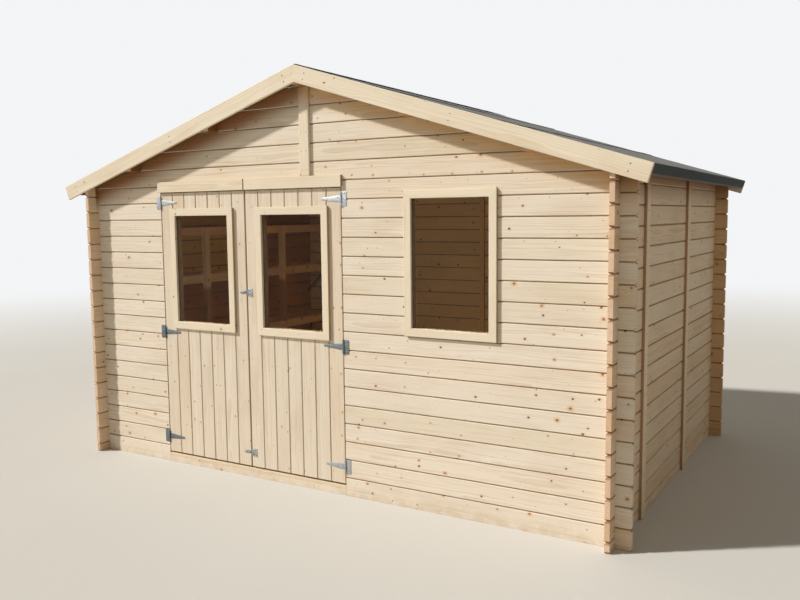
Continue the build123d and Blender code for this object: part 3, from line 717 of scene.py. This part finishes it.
SIDE_BATTENS, BATTEN_HALF, BATTEN_TOP = (-0.785, 0.270), 0.035, 2.03
LAST_SCREW = 1.98
battens = Timber(17)
shifts = random.Random(7)
for side in (-1, 1):
    face = side * (WALL_OUT + BATTEN)
    x0, x1 = sorted((side * WALL_OUT, face))
    for y in SIDE_BATTENS:
        corners = ((x0, y - BATTEN_HALF, 0), (x1, y + BATTEN_HALF, BATTEN_TOP))
        # the battens' narrow sides are darkened as painted shade
        battens.plank(*corners, "z", 0.003, roof_cuts(), dark_edges="both")
        for k in range(18):
            z = COURSE * k + 0.030 + shifts.uniform(-0.003, 0.003)
            for dy in (-0.016, 0.016):
                if z < LAST_SCREW:
                    battens.screw((face, y + dy, z), X * side)
battens.piece("wall_battens", BATTEN_WOOD, "shed", "trim_timber", "side_battens")

gable = Timber(18)
batten_top = APEX - 0.095
for y, way in ((-GABLE_OUT, -1), (GABLE_OUT, 1)):
    face = y + way * BATTEN
    y0, y1 = sorted((y, face))
    gable.plank((-0.037, y0, HEAD), (0.037, y1, batten_top), "z", 0.003, look=gable.look(*EVEN_TONE))
    for k in range(5):
        for dx in (-0.018, 0.018):
            gable.screw((dx, face, HEAD + 0.037 + COURSE * k), Y * way, 0.003)
corners = ((-0.021, GABLE_IN - BATTEN, FLOOR_TOP), (0.021, GABLE_IN, batten_top))
# the inner batten's narrow sides are darkened as painted shade
gable.plank(*corners, "z", 0.002, dark_edges="both")
gable.piece("gable_battens_boards", TRIM_WOOD, "shed", "trim_timber", "gable_battens")

# Doorway and window

threshold = Timber(21)
corners = ((DOORWAY[0], -GABLE_OUT - 0.001, SILL_BASE), (DOORWAY[1], -GABLE_IN, SILL))
threshold.plank(*corners, "x", 0.003, segments=3)
threshold.piece("threshold", TRIM_WOOD, "shed", "trim_timber", "door_threshold")

POST, POST_DEPTH, STOP = 0.045, 0.035, 0.012
LINTEL = DOORWAY[3] - STOP
jambs = Timber(22)
for x0, x1 in ((DOORWAY[0] - POST, DOORWAY[0] + STOP), (DOORWAY[1] - STOP, DOORWAY[1] + POST)):
    jambs.plank((x0, -GABLE_IN, FLOOR_TOP), (x1, -GABLE_IN + POST_DEPTH, LINTEL), "z", 0.002)
jambs.piece("doorway_posts", TRIM_WOOD, "shed", "trim_timber", "door_jambs")

lintel = Timber(23)
high = (DOORWAY[1] + POST, -GABLE_IN + POST_DEPTH, DOORWAY[3] + POST)
lintel.plank((DOORWAY[0] - POST, -GABLE_IN, LINTEL), high, "x", 0.002)
lintel.piece("doorway_lintel", TRIM_WOOD, "shed", "trim_timber", "door_lintel")

heads = Timber(24)
door_mid = (DOORWAY[0] + DOORWAY[1]) / 2
for x0, x1 in ((DOORWAY[0] - 0.008, door_mid + 0.004), (door_mid + 0.011, DOORWAY[1] + 0.008)):
    # the head boards' ends are darkened as painted shade
    heads.plank((x0, -GABLE_OUT - 0.02, DOORWAY[3]), (x1, -GABLE_OUT, HEAD), "x", 0.0015, dark_ends=True)
heads.piece("head_boards", TRIM_WOOD, "shed", "trim_timber", "door_head_boards")


def mitred_frame(timber, hole, width, y0, y1, chamfer):
    """Four mitred rails round an opening."""
    x0, x1, z0, z1 = hole
    a, b, c, d = x0 - width, x1 + width, z0 - width, z1 + width
    down_left, down_right = (a, 0, c), (b, 0, c)
    up_left, up_right = (a, 0, d), (b, 0, d)
    looks = [timber.look(*FRAME_TONE) for _ in range(4)]
    timber.plank((a, y0, c), (b, y1, z0), "x", chamfer, [(down_left, -X + Z), (down_right, X + Z)], looks[0])
    timber.plank((a, y0, z1), (b, y1, d), "x", chamfer, [(up_left, -X - Z), (up_right, X - Z)], looks[1])
    timber.plank((a, y0, c), (x0, y1, d), "z", chamfer, [(down_left, X - Z), (up_left, X + Z)], looks[2])
    cuts = [(down_right, -X - Z), (up_right, -X + Z)]
    # the right stile's outer side is darkened as painted shade
    timber.plank((x1, y0, c), (b, y1, d), "z", chamfer, cuts, looks[3], dark_edges="high")


REBATE = 0.012
TRIM_FACE = -GABLE_OUT - BATTEN


def glazing(seed, glass, width, body, trim_name, trim_node, lining_name, lining_node):
    """Trim outside and lining inside round a pane."""
    x0, x1, z0, z1 = opening(glass)
    pane = (x0 + REBATE, x1 - REBATE, z0 + REBATE, z1 - REBATE)
    trim, lining = Timber(seed), Timber(seed + 1)
    mitred_frame(trim, pane, width, TRIM_FACE, -GABLE_OUT, 0.0025)
    trim.piece(trim_name, TRIM_WOOD, body, "trim_timber", trim_node)
    low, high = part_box(lining_node)
    mitred_frame(lining, pane, REBATE, low.y, high.y, 0.001)
    lining.piece(lining_name, LINING_WOOD, body, "trim_timber", lining_node)
    glaze(glass)


glazing(25, "window_glass", 0.048, "shed", "window_casing", "window_frame",
        "window_inner_frame", "window_lining")

# Door leaves

LEAF_BOARDS = 7
LEDGE = 0.095


def leaf(name, seed):
    """One door leaf, its body and nodes named alike."""
    low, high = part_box(name + "_boards")
    left, right, bottom, top = opening(name + "_window_glass")
    boards = Timber(seed)
    step = (high.x - low.x) / LEAF_BOARDS
    for i in range(LEAF_BOARDS):
        x0, x1 = low.x + step * i, low.x + step * (i + 1)
        look = boards.look(*LEAF_TONE)
        if left >= x1 or right <= x0:
            pieces = [[]]
        else:
            pieces = [[((0, 0, bottom), Z)], [((0, 0, top), -Z)]]
            beside = [((0, 0, bottom), -Z), ((0, 0, top), Z)]
            if x0 < left:
                pieces.append(beside + [((left, 0, 0), X)])
            if x1 > right:
                pieces.append(beside + [((right, 0, 0), -X)])
        corners, plain = ((x0, low.y, low.z), (x1, high.y, high.z)), (i == 0, i == LEAF_BOARDS - 1)
        for cuts in pieces:
            boards.joined(*corners, "z", (0.0052, 0.0010, 0.007), plain, cuts, look, edge=0.0035)
    boards.piece(name + "_panel", DOOR_WOOD, name, "door_boards", name + "_boards")

    ledge_low, ledge_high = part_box(name + "_ledges")
    ledges = Timber(seed + 1)
    for z in (ledge_low.z, bottom - LEDGE, top):
        ledges.plank((ledge_low.x, ledge_low.y, z), (ledge_high.x, ledge_high.y, z + LEDGE), "x", 0.003)
        for i in range(LEAF_BOARDS):
            x = low.x + step * (i + 0.5)
            for dz in (0.025, 0.07):
                if ledge_low.x + 0.01 < x < ledge_high.x - 0.01:
                    ledges.screw((x, ledge_high.y, z + dz), Y, 0.0035)
    ledges.piece(name + "_cross_ledges", DOOR_WOOD, name, "door_boards", name + "_ledges")

    glazing(seed + 2, name + "_window_glass", 0.050, name, name + "_pane_trim", name + "_window_trim",
            name + "_pane_lining", name + "_window_lining")


leaf("left_door", 31)
leaf("right_door", 41)

# Floor and shelves

floor = Timber(51)
FLOOR_BOARDS = 32
step = 2 * WALL_IN / FLOOR_BOARDS
for i in range(FLOOR_BOARDS):
    corners = ((-WALL_IN + step * i, -GABLE_IN, FLOOR_BASE), (-WALL_IN + step * (i + 1), GABLE_IN, FLOOR_TOP))
    floor.joined(*corners, "y", (0.002, 0.0006, 0.005))
floor.piece("floor_planks", INSIDE_WOOD, "shed", "inside_timber", "floor_boards")

bearers = Timber(52)
BEARERS, BEARER = 6, 0.045
for i in range(BEARERS):
    y = -GABLE_IN + (2 * GABLE_IN - BEARER) * i / (BEARERS - 1)
    bearers.plank((-WALL_IN, y, 0), (WALL_IN, y + BEARER, FLOOR_BASE), "x", 0.002)
bearers.piece("floor_joists", INSIDE_WOOD, "shed", "inside_timber", "floor_bearers")

LIP_BACK = -WALL_IN + SHELF_DEPTH
LIP_FRONT = LIP_BACK + SHELF_BOARD
shelves = Timber(53)
for height in SHELVES:
    for i in range(3):
        x0, x1 = (-WALL_IN + SHELF_DEPTH / 3 * k for k in (i, i + 1))
        shelves.plank((x0, -GABLE_IN, height - SHELF_BOARD), (x1, GABLE_IN, height), "y", 0.0015)
    shelves.plank((LIP_BACK, -GABLE_IN, height - SHELF_LIP), (LIP_FRONT, GABLE_IN, height), "y", 0.002)
shelves.piece("shelves", INSIDE_WOOD, "shed", "inside_timber", "wall_shelves")

posts = Timber(54)
SHELF_POSTS = (-0.545, 0.410)
for y in SHELF_POSTS:
    low, high = (LIP_FRONT, y - POST / 2, FLOOR_TOP), (LIP_FRONT + POST, y + POST / 2, SHELVES[2])
    posts.plank(low, high, "z", 0.002)
posts.piece("shelf_uprights", INSIDE_WOOD, "shed", "inside_timber", "shelf_posts")

# each strut leans at 45 degrees from the wall to the underside of the middle shelf
struts = Timber(55)
STRUT, STRUT_HALF = 0.011, 0.0127
under = SHELVES[1] - SHELF_BOARD
for y in (-GABLE_IN + 0.036, 0.0, GABLE_IN - 0.036):
    middle = Vector((-WALL_IN + 0.1195, y, under - 0.1555))
    turn = Matrix.Translation(middle) @ Matrix.Rotation(math.radians(-45), 4, "Y")
    cuts = [((-WALL_IN, 0, 0), -X), ((0, 0, under), Z)]
    struts.plank((-0.25, -STRUT, -STRUT_HALF), (0.25, STRUT, STRUT_HALF), "x", 0.001, cuts, turn=turn)
struts.piece("shelf_braces", INSIDE_WOOD, "shed", "inside_timber", "shelf_struts")


# Roof

def slope_matrix(side):
    """Local X runs down the slope, Y along the ridge, Z out of the roof."""
    down = Vector((side * SLOPE_DOWN.x, 0, SLOPE_DOWN.z))
    up = Vector((side * SLOPE_UP.x, 0, SLOPE_UP.z))
    return Matrix.Translation(RIDGE) @ Matrix((down, up.cross(down), up)).transposed().to_4x4()


SIDES = ((-1, "left_"), (1, "right_"))
PURLIN, PURLIN_DROP, PURLIN_SHARE = 0.045, 0.095, 0.38
purlins = Timber(61)
for row in (-2, -1, 0, 1, 2):
    x = row * PURLIN_SHARE * WALL_OUT
    bottom = APEX - abs(x) * math.tan(PITCH) - PURLIN_DROP
    low, high = (x - PURLIN / 2, -VERGE, bottom), (x + PURLIN / 2, VERGE, bottom + 0.12)
    purlins.plank(low, high, "y", 0.002, roof_cuts())
purlins.piece("roof_purlins", ROOF_WOOD, "shed", "roof_timber", "purlins")

DECK_BOARDS = 24
step = 2 * VERGE / DECK_BOARDS
for side, name in SIDES:
    deck = Timber(62 + side)
    ridge_cut = [((0, 0, 0), -X * side)]
    for i in range(DECK_BOARDS):
        y0 = -VERGE + step * i
        corners, plain = ((-0.02, y0, 0), (RAFTER, y0 + step, DECK)), (i == 0, i == DECK_BOARDS - 1)
        deck.joined(*corners, "x", (0.004, 0.0008, 0.006), plain, ridge_cut, turn=slope_matrix(side))
    deck.piece(name + "roof_boards", ROOF_WOOD, "shed", "roof_timber", name + "roof_deck")

eaves = Timber(64)
for side, _ in SIDES:
    eaves.plank((RAFTER - 0.016, -VERGE, -0.042), (RAFTER, VERGE, 0), "y", 0.0015, turn=slope_matrix(side))
eaves.piece("eave_strips", EAVE_WOOD, "shed", "trim_timber", "eave_boards")

BARGE, BARGE_HEIGHT = 0.02, 0.1
for side, name in SIDES:
    barge = Timber(66 + side)
    top = DECK + FELT_SKIN
    for y0 in (-VERGE - BARGE, VERGE):
        corners = ((-0.06, y0, top - BARGE_HEIGHT), (RAFTER + FELT_SKIN, y0 + BARGE, top))
        look = barge.look(*EVEN_TONE)
        barge.plank(*corners, "x", 0.0025, [((0, 0, 0), -X * side)], look, slope_matrix(side))
        face, out = (y0, -Y) if y0 < 0 else (y0 + BARGE, Y)
        for reach in (0.09, 1.11, 2.13):
            for dz in (-0.012, -0.05):
                barge.screw(slope_matrix(side) @ Vector((reach, face, dz)), out)
    barge.piece(name + "barge_pair", TRIM_WOOD, "shed", "trim_timber", name + "barge_boards")


def felt_sheet(outline, turn, seed, rows=91, thickness=0.0028):
    """Points and faces of a sheet of felt that follows an outline, given as points across the ridge in the
    frame of turn, with slight waves on its upper face."""
    r = random.Random(seed)
    outline = [Vector((a, 0, b)) for a, b in outline]
    length = len(outline)
    normals = []
    for i in range(length):
        run = (outline[min(i + 1, length - 1)] - outline[max(i - 1, 0)]).normalized()
        normals.append(Vector((-run.z, 0, run.x)))
    phase = [r.uniform(0, 6.28) for _ in range(3)]
    upper, lower, faces = [], [], []
    for j in range(rows):
        y = -VERGE + 2 * VERGE * j / (rows - 1)
        for p, n in zip(outline, normals):
            lift = 0.0005 * (math.sin(y * 9 + phase[0] + p.x * 3) + math.sin(y * 23 + phase[1] - p.x * 5))
            lift += 0.0004 * math.sin(p.x * 31 + phase[2] + y * 4)
            upper.append((turn @ (Vector((p.x, y, p.z)) + n * (thickness + abs(lift))))[:])
            lower.append((turn @ Vector((p.x, y, p.z)))[:])
    under = len(upper)
    for j in range(rows - 1):
        for i in range(length - 1):
            a = j * length + i
            faces.append([a, a + 1, a + length + 1, a + length])
            a += under
            faces.append([a, a + length, a + length + 1, a + 1])
    for j in range(rows - 1):
        for i in (0, length - 1):
            a = j * length + i
            quad = [a, a + length, a + length + under, a + under]
            faces.append(quad if i == 0 else quad[::-1])
    for i in range(length - 1):
        for j in (0, rows - 1):
            a = j * length + i
            quad = [a, a + under, a + under + 1, a + 1]
            faces.append(quad if j == 0 else quad[::-1])
    return upper + lower, faces


def joined_sheets(name, sheets, node):
    points, faces = [], []
    for sheet_points, sheet_faces in sheets:
        start = len(points)
        points += sheet_points
        faces += [[i + start for i in f] for f in sheet_faces]
    mesh = bpy.data.meshes.new(name)
    mesh.from_pydata(points, [], faces)
    bm = bmesh.new()
    bm.from_mesh(mesh)
    bmesh.ops.recalc_face_normals(bm, faces=bm.faces)
    bm.to_mesh(mesh)
    bm.free()
    mesh.materials.append(FELT)
    finish_piece(mesh, "shed", "roof_felt", node)


def run_points(start, end, out_start, out_end, steps):
    """Points of an outline in even steps, each a distance down the slope and a height above it."""
    shares = [k / steps for k in range(steps + 1)]
    return [(start + (end - start) * t, out_start + (out_end - out_start) * t) for t in shares]


CLEAR = 0.0002  # between the felt and the boards
BACK = DECK + CLEAR
BACK_ON_FELT = BACK + 0.0031
OVERLAP, BEND = 0.08, 0.12  # a sheet leaves the boards at BEND above its lower edge
CORNER, HEM = 0.006, 0.030


def lapped(start, lap, steps):
    """A sheet whose lower edge lies over the next sheet, at a lap."""
    on_felt = run_points(lap - OVERLAP, lap, BACK_ON_FELT, BACK_ON_FELT, 3)
    return run_points(start, lap - BEND, BACK, BACK, steps) + on_felt


fold = []
for k in range(1, 7):
    angle = math.pi / 2 * k / 6
    reach = RAFTER - CORNER + (CORNER + CLEAR) * math.sin(angle)
    fold.append((reach, BACK - CORNER + CORNER * math.cos(angle)))
lower = run_points(LAPS[2] - OVERLAP, RAFTER - CORNER, BACK, BACK, 26) + fold
lower += run_points(RAFTER + CLEAR, RAFTER + CLEAR, BACK - CORNER, -HEM, 5)[1:]
outlines = (lower, lapped(LAPS[1] - OVERLAP, LAPS[2], 24), lapped(0.006, LAPS[1], 16))
for side, name in SIDES:
    sheets = [felt_sheet(outline, slope_matrix(side), seed) for seed, outline in enumerate(outlines)]
    joined_sheets(name + "felt", sheets, name + "roof_felt")

# the strip on the ridge is one sheet, bent over it
top = DECK + FELT_SKIN + 0.0032
strip = []
for k in range(-10, 11):
    reach = abs(k) * LAPS[0] / 10
    out, up = reach * math.cos(PITCH) + top * math.sin(PITCH), top * math.cos(PITCH) - reach * math.sin(PITCH)
    strip.append((math.copysign(out, k), up) if k else (0.0, top / math.cos(PITCH) - 0.0012))
joined_sheets("ridge_felt", [felt_sheet(strip, Matrix.Translation(RIDGE), 9)], "ridge_felt_strip")


# Fittings

class Metal:
    """Bent, cut and turned steel parts of one piece, joined into one mesh."""

    def __init__(self):
        self.bm = bmesh.new()
        self.shade, self.tones = 0.8, []

    def add(self, bm, matrix):
        bmesh.ops.recalc_face_normals(bm, faces=bm.faces)
        bm.transform(matrix)
        if matrix.determinant() < 0:
            bmesh.ops.reverse_faces(bm, faces=bm.faces)
        mesh = bpy.data.meshes.new("part")
        bm.to_mesh(mesh)
        bm.free()
        self.bm.from_mesh(mesh)
        self.tones += [self.shade] * len(mesh.vertices)
        bpy.data.meshes.remove(mesh)

    def sheet(self, outline, matrix, bevel=0.0006):
        """A flat plate with an outline in X and Z, its back at Y 0 and its face at minus its thickness."""
        bm = bmesh.new()
        face = bm.faces.new([bm.verts.new((x, 0, z)) for x, z in outline])
        made = bmesh.ops.extrude_face_region(bm, geom=[face])
        moved = [v for v in made["geom"] if isinstance(v, bmesh.types.BMVert)]
        bmesh.ops.translate(bm, vec=(0, -PLATE, 0), verts=moved)
        edges = [e for e in bm.edges if all(abs(v.co.y + PLATE) < 1e-9 for v in e.verts)]
        bmesh.ops.bevel(bm, geom=edges, offset=bevel, segments=2, profile=0.5, affect="EDGES")
        self.add(bm, matrix)

    def rod(self, start, end, radius, matrix, sides=20, dome=0.0):
        """A turned rod from start to end with softened ends, or with a dome on its end."""
        start, end = Vector(start), Vector(end)
        axis = (end - start).normalized()
        side = axis.orthogonal().normalized()
        soft = min(radius * 0.35, (end - start).length * 0.2)
        rings = [(start, radius - soft), (start + axis * soft, radius), (end - axis * soft, radius)]
        if dome:
            rings += [(end + axis * dome * t, radius * math.sqrt(1 - t * t)) for t in (0.35, 0.7, 0.93)]
        else:
            rings.append((end, radius - soft))
        bm = bmesh.new()
        bridge(bm, [circle(bm, centre, side, axis.cross(side), r, sides) for centre, r in rings])
        self.add(bm, matrix)

    def wire(self, path, radius, matrix, sides=12):
        """A round wire bent along a path."""
        path = [Vector(p) for p in path]
        bm = bmesh.new()
        loops, side = [], None
        for i, p in enumerate(path):
            run = (path[min(i + 1, len(path) - 1)] - path[max(i - 1, 0)]).normalized()
            across = run.orthogonal() if side is None else side - run * side.dot(run)
            side = across.normalized()
            loops.append(circle(bm, p, side, run.cross(side), radius, sides))
        bridge(bm, loops)
        self.add(bm, matrix)

    def head(self, x, z, y, matrix, radius, count=16):
        """A domed screw head with a cross slot standing on a plate's face at y."""
        bm = bmesh.new()
        loops = []
        for share, out in ((1.0, 0.0), (0.93, -0.0009), (0.7, -0.0018), (0.42, -0.0022), (0.3, -0.0008)):
            loop = []
            for i in range(count):
                reach = radius * share * (0.6 if share < 0.5 and i % 4 == 2 else 1.0)
                turn = 2 * math.pi * i / count
                loop.append(bm.verts.new((x + reach * math.cos(turn), y + out, z + reach * math.sin(turn))))
            loops.append(loop)
        bridge(bm, loops)
        self.add(bm, matrix)

    def piece(self, name, body, *nodes):
        mesh = bpy.data.meshes.new(name)
        self.bm.to_mesh(mesh)
        self.bm.free()
        mesh.materials.append(ZINC)
        store(mesh, "tone", self.tones)
        mesh.polygons.foreach_set("use_smooth", [True] * len(mesh.polygons))
        mesh.set_sharp_from_angle(angle=math.radians(35))
        finish_piece(mesh, body, "fittings", *nodes)


PLATE, SINK = 0.003, 0.006
PIN, KNUCKLE = 0.0028, 0.0055
HINGE_HALF, STRAP_HALF = 0.045, 0.0195
HINGE_HEIGHTS = (0.186, 0.940, 1.8435)
# painted reflection: a tone for each hinge, from the lowest up, makes it bright or dull
HINGE_TONES = {"left_door": (0.12, 0.10, 0.75), "right_door": (0.70, 0.22, 0.95)}
PINS = {"left_door": DOORWAY[0] + 0.003, "right_door": DOORWAY[1] - 0.003}


def hinges(body):
    """The tone and the frame of each hinge, drawn for the left leaf: X along the strap, Y into the wall."""
    flip = Matrix.Diagonal((-1 if body == "right_door" else 1, 1, 1, 1))
    for height, tone in zip(HINGE_HEIGHTS, HINGE_TONES[body]):
        yield tone, Matrix.Translation((PINS[body], -GABLE_OUT - SINK, height)) @ flip


def arc(cx, cz, radius, start, end, steps):
    """Points on an arc between two angles in degrees."""
    angles = [math.radians(start + (end - start) * k / steps) for k in range(steps + 1)]
    return [(cx + radius * math.cos(a), cz + radius * math.sin(a)) for a in angles]


plates = Metal()
to_wall = Matrix.Translation((0, SINK, 0))
for body in PINS:
    for plates.shade, m in hinges(body):
        half, r = HINGE_HALF, 0.006
        outline = [(-0.006, -half), (-0.006, half)]
        outline += arc(-0.040 + r, half - r, r, 90, 180, 4) + arc(-0.040 + r, -half + r, r, 180, 270, 4)
        plates.sheet(outline, m @ to_wall)
        for z0, z1 in ((-half, -0.020), (0.020, half)):
            plates.sheet([(-0.0065, z0), (-0.0065, z1), (0.0, z1), (0.0, z0)], m @ to_wall, 0.0003)
            plates.rod((0, 0, z0), (0, 0, z1), KNUCKLE, m)
        plates.rod((0, 0, -half - 0.002), (0, 0, half + 0.002), PIN, m, 16)
        for x, z in ((-0.024, -0.032), (-0.024, 0.032), (-0.031, 0.0), (-0.016, 0.0)):
            plates.head(x, z, PLATE, m, 0.0042)
plates.piece("hinge_wall_plates", "shed", "hinge_plates")

STRAP = 0.141
half = STRAP_HALF
strap = [(0.0032, -half), (0.012, -half), (STRAP - 0.004, -0.0068)] + arc(STRAP, 0, 0.007, -80, 80, 8)
strap += [(STRAP - 0.004, 0.0068), (0.012, half), (0.0032, half)]
for body in PINS:
    straps = Metal()
    for straps.shade, m in hinges(body):
        straps.sheet(strap[::-1], m @ to_wall)
        straps.rod((0, 0, -half), (0, 0, half), KNUCKLE, m)
        for x, z in ((0.024, 0.009), (0.024, -0.009), (0.066, 0.0), (0.102, 0.0), (0.134, 0.0)):
            straps.head(x, z, PLATE, m, 0.0038)
    straps.piece(body + "_strap_hinges", body, body + "_hinge_straps")

CATCHES = (0.172, 1.247)
BOLT_Y = -0.0047
latch, keeper = Metal(), Metal()
bar = [(-0.046, -0.008), (-0.046, 0.008), (-0.004, 0.008), (0.0, 0.004), (0.0, -0.004), (-0.004, -0.008)]
loop = [(-0.0028, -0.0062), (-0.0062, -0.0054), (-0.0080, -0.0022)]
loop += [(y, -z) for y, z in loop[::-1]]
for height in CATCHES:
    m = Matrix.Translation((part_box("left_door_boards")[1].x - 0.003, -GABLE_OUT, height))
    latch.shade = 0.10
    latch.sheet(bar, m)
    latch.rod((-0.054, BOLT_Y, 0), (0.0, BOLT_Y, 0), 0.0032, m, 16)
    latch.shade = 1.0
    for x in (-0.034, -0.013):
        latch.wire([(x, y, z) for y, z in loop], 0.0015, m, 8)
    latch.rod((-0.0225, BOLT_Y, 0.001), (-0.0225, -0.0095, 0.0045), 0.0026, m, 14, 0.0012)
    for x in (-0.042, -0.006):
        latch.head(x, 0.0055, -PLATE, m, 0.0018)
latch.piece("left_door_latch_bars", "left_door", "left_door_catches")

r = 0.005
plate = arc(r, 0.021, r, 180, 90, 4) + arc(0.037, 0.021, r, 90, 0, 4)
plate += arc(0.037, -0.021, r, 0, -90, 4) + arc(r, -0.021, r, -90, -180, 4)
turns = [math.pi * k / 8 for k in range(1, 8)]
bow = [(0.021, -0.002, -0.0135), (0.021, -0.011, -0.0135)]
bow += [(0.021, -0.011 - 0.0055 * math.sin(t), -0.0135 * math.cos(t)) for t in turns]
bow += [(0.021, -0.011, 0.0135), (0.021, -0.002, 0.0135)]
for height in CATCHES:
    m = Matrix.Translation((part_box("right_door_boards")[0].x + 0.003, -GABLE_OUT, height))
    keeper.shade = 0.85
    keeper.sheet(plate[::-1], m)
    keeper.shade = 0.05
    keeper.wire(bow, 0.0024, m)
    for x, z in ((0.008, 0.019), (0.034, 0.019), (0.008, -0.019), (0.034, -0.019)):
        keeper.head(x, z, -PLATE, m, 0.0032)
keeper.piece("right_door_latch_keeps", "right_door", "right_door_keeps")

# Camera, light and floor

# The camera has no lens shift; its focal length is in pixels of a frame 800 wide
YAW, DIP, ROLL = (math.radians(v) for v in (30.935, 5.824, 0.612))
FOCAL, FRAME_WIDTH, SENSOR = 822.6, 800, 36
forward = Vector((-math.sin(YAW) * math.cos(DIP), math.cos(YAW) * math.cos(DIP), -math.sin(DIP)))
right = Vector((math.cos(YAW), math.sin(YAW), 0))
down = forward.cross(right)
image_right = right * math.cos(ROLL) + down * math.sin(ROLL)
image_down = down * math.cos(ROLL) - right * math.sin(ROLL)
lens = bpy.data.cameras.new("camera")
lens.sensor_width = SENSOR
lens.lens = FOCAL / FRAME_WIDTH * SENSOR
lens.clip_end = 200
camera = bpy.data.objects.new("camera", lens)
turn = Matrix((image_right, -image_down, -forward)).transposed().to_4x4()
camera.matrix_world = Matrix.Translation((3.1267, -5.3962, 1.735)) @ turn
bpy.context.scene.collection.objects.link(camera)
bpy.context.scene.camera = camera

sun = bpy.data.lights.new("sun", "SUN")
sun.energy = 4.0
sun.angle = math.radians(3)
sun.color = (1.0, 0.98, 0.95)
lamp = bpy.data.objects.new("sun", sun)
lamp.rotation_mode = "QUATERNION"
lamp.rotation_quaternion = Vector((1.39, 1.0, -1.39)).to_track_quat("-Z", "Y")
bpy.context.scene.collection.objects.link(lamp)

# the sky gives a warm light, and is seen as a plain pale backdrop that the floor fades into
BACKDROP = (0.90, 0.91, 0.92)
world = Graph(bpy.data.worlds.new("world"))
world.surface({"Color": (1.0, 0.925, 0.775), "Strength": 0.255})
back = world.feed(world.node("ShaderNodeBackground"), {"Color": BACKDROP, "Strength": 1.0})
world.blend(world.seen(), world.shader.outputs[0], back.outputs[0])
bpy.context.scene.world = world.owner
bpy.context.scene.view_settings.view_transform = "Standard"

g = material("studio_floor")
place = g.place()
patch = g.noise(place, 0.8, 3.0)
g.surface({"Base Color": g.mix(patch, (0.580, 0.560, 0.520), (0.610, 0.590, 0.550)), "Roughness": 0.9})
far = g.times(g.seen(), g.ramp(g.vector("LENGTH", place).outputs["Value"], 4.5, 17.0))
glow = g.feed(g.node("ShaderNodeEmission"), {"Color": BACKDROP, "Strength": 1.0})
g.blend(far, g.shader.outputs[0], glow.outputs[0])
ground = bpy.data.meshes.new("studio_floor")
reach = 60.0
corners = [(-reach, -reach, 0), (reach, -reach, 0), (reach, reach, 0), (-reach, reach, 0)]
ground.from_pydata(corners, [], [(0, 1, 2, 3)])
ground.materials.append(g.owner)
stand = bpy.data.objects.new("studio_floor", ground)
bpy.context.scene.collection.objects.link(stand)
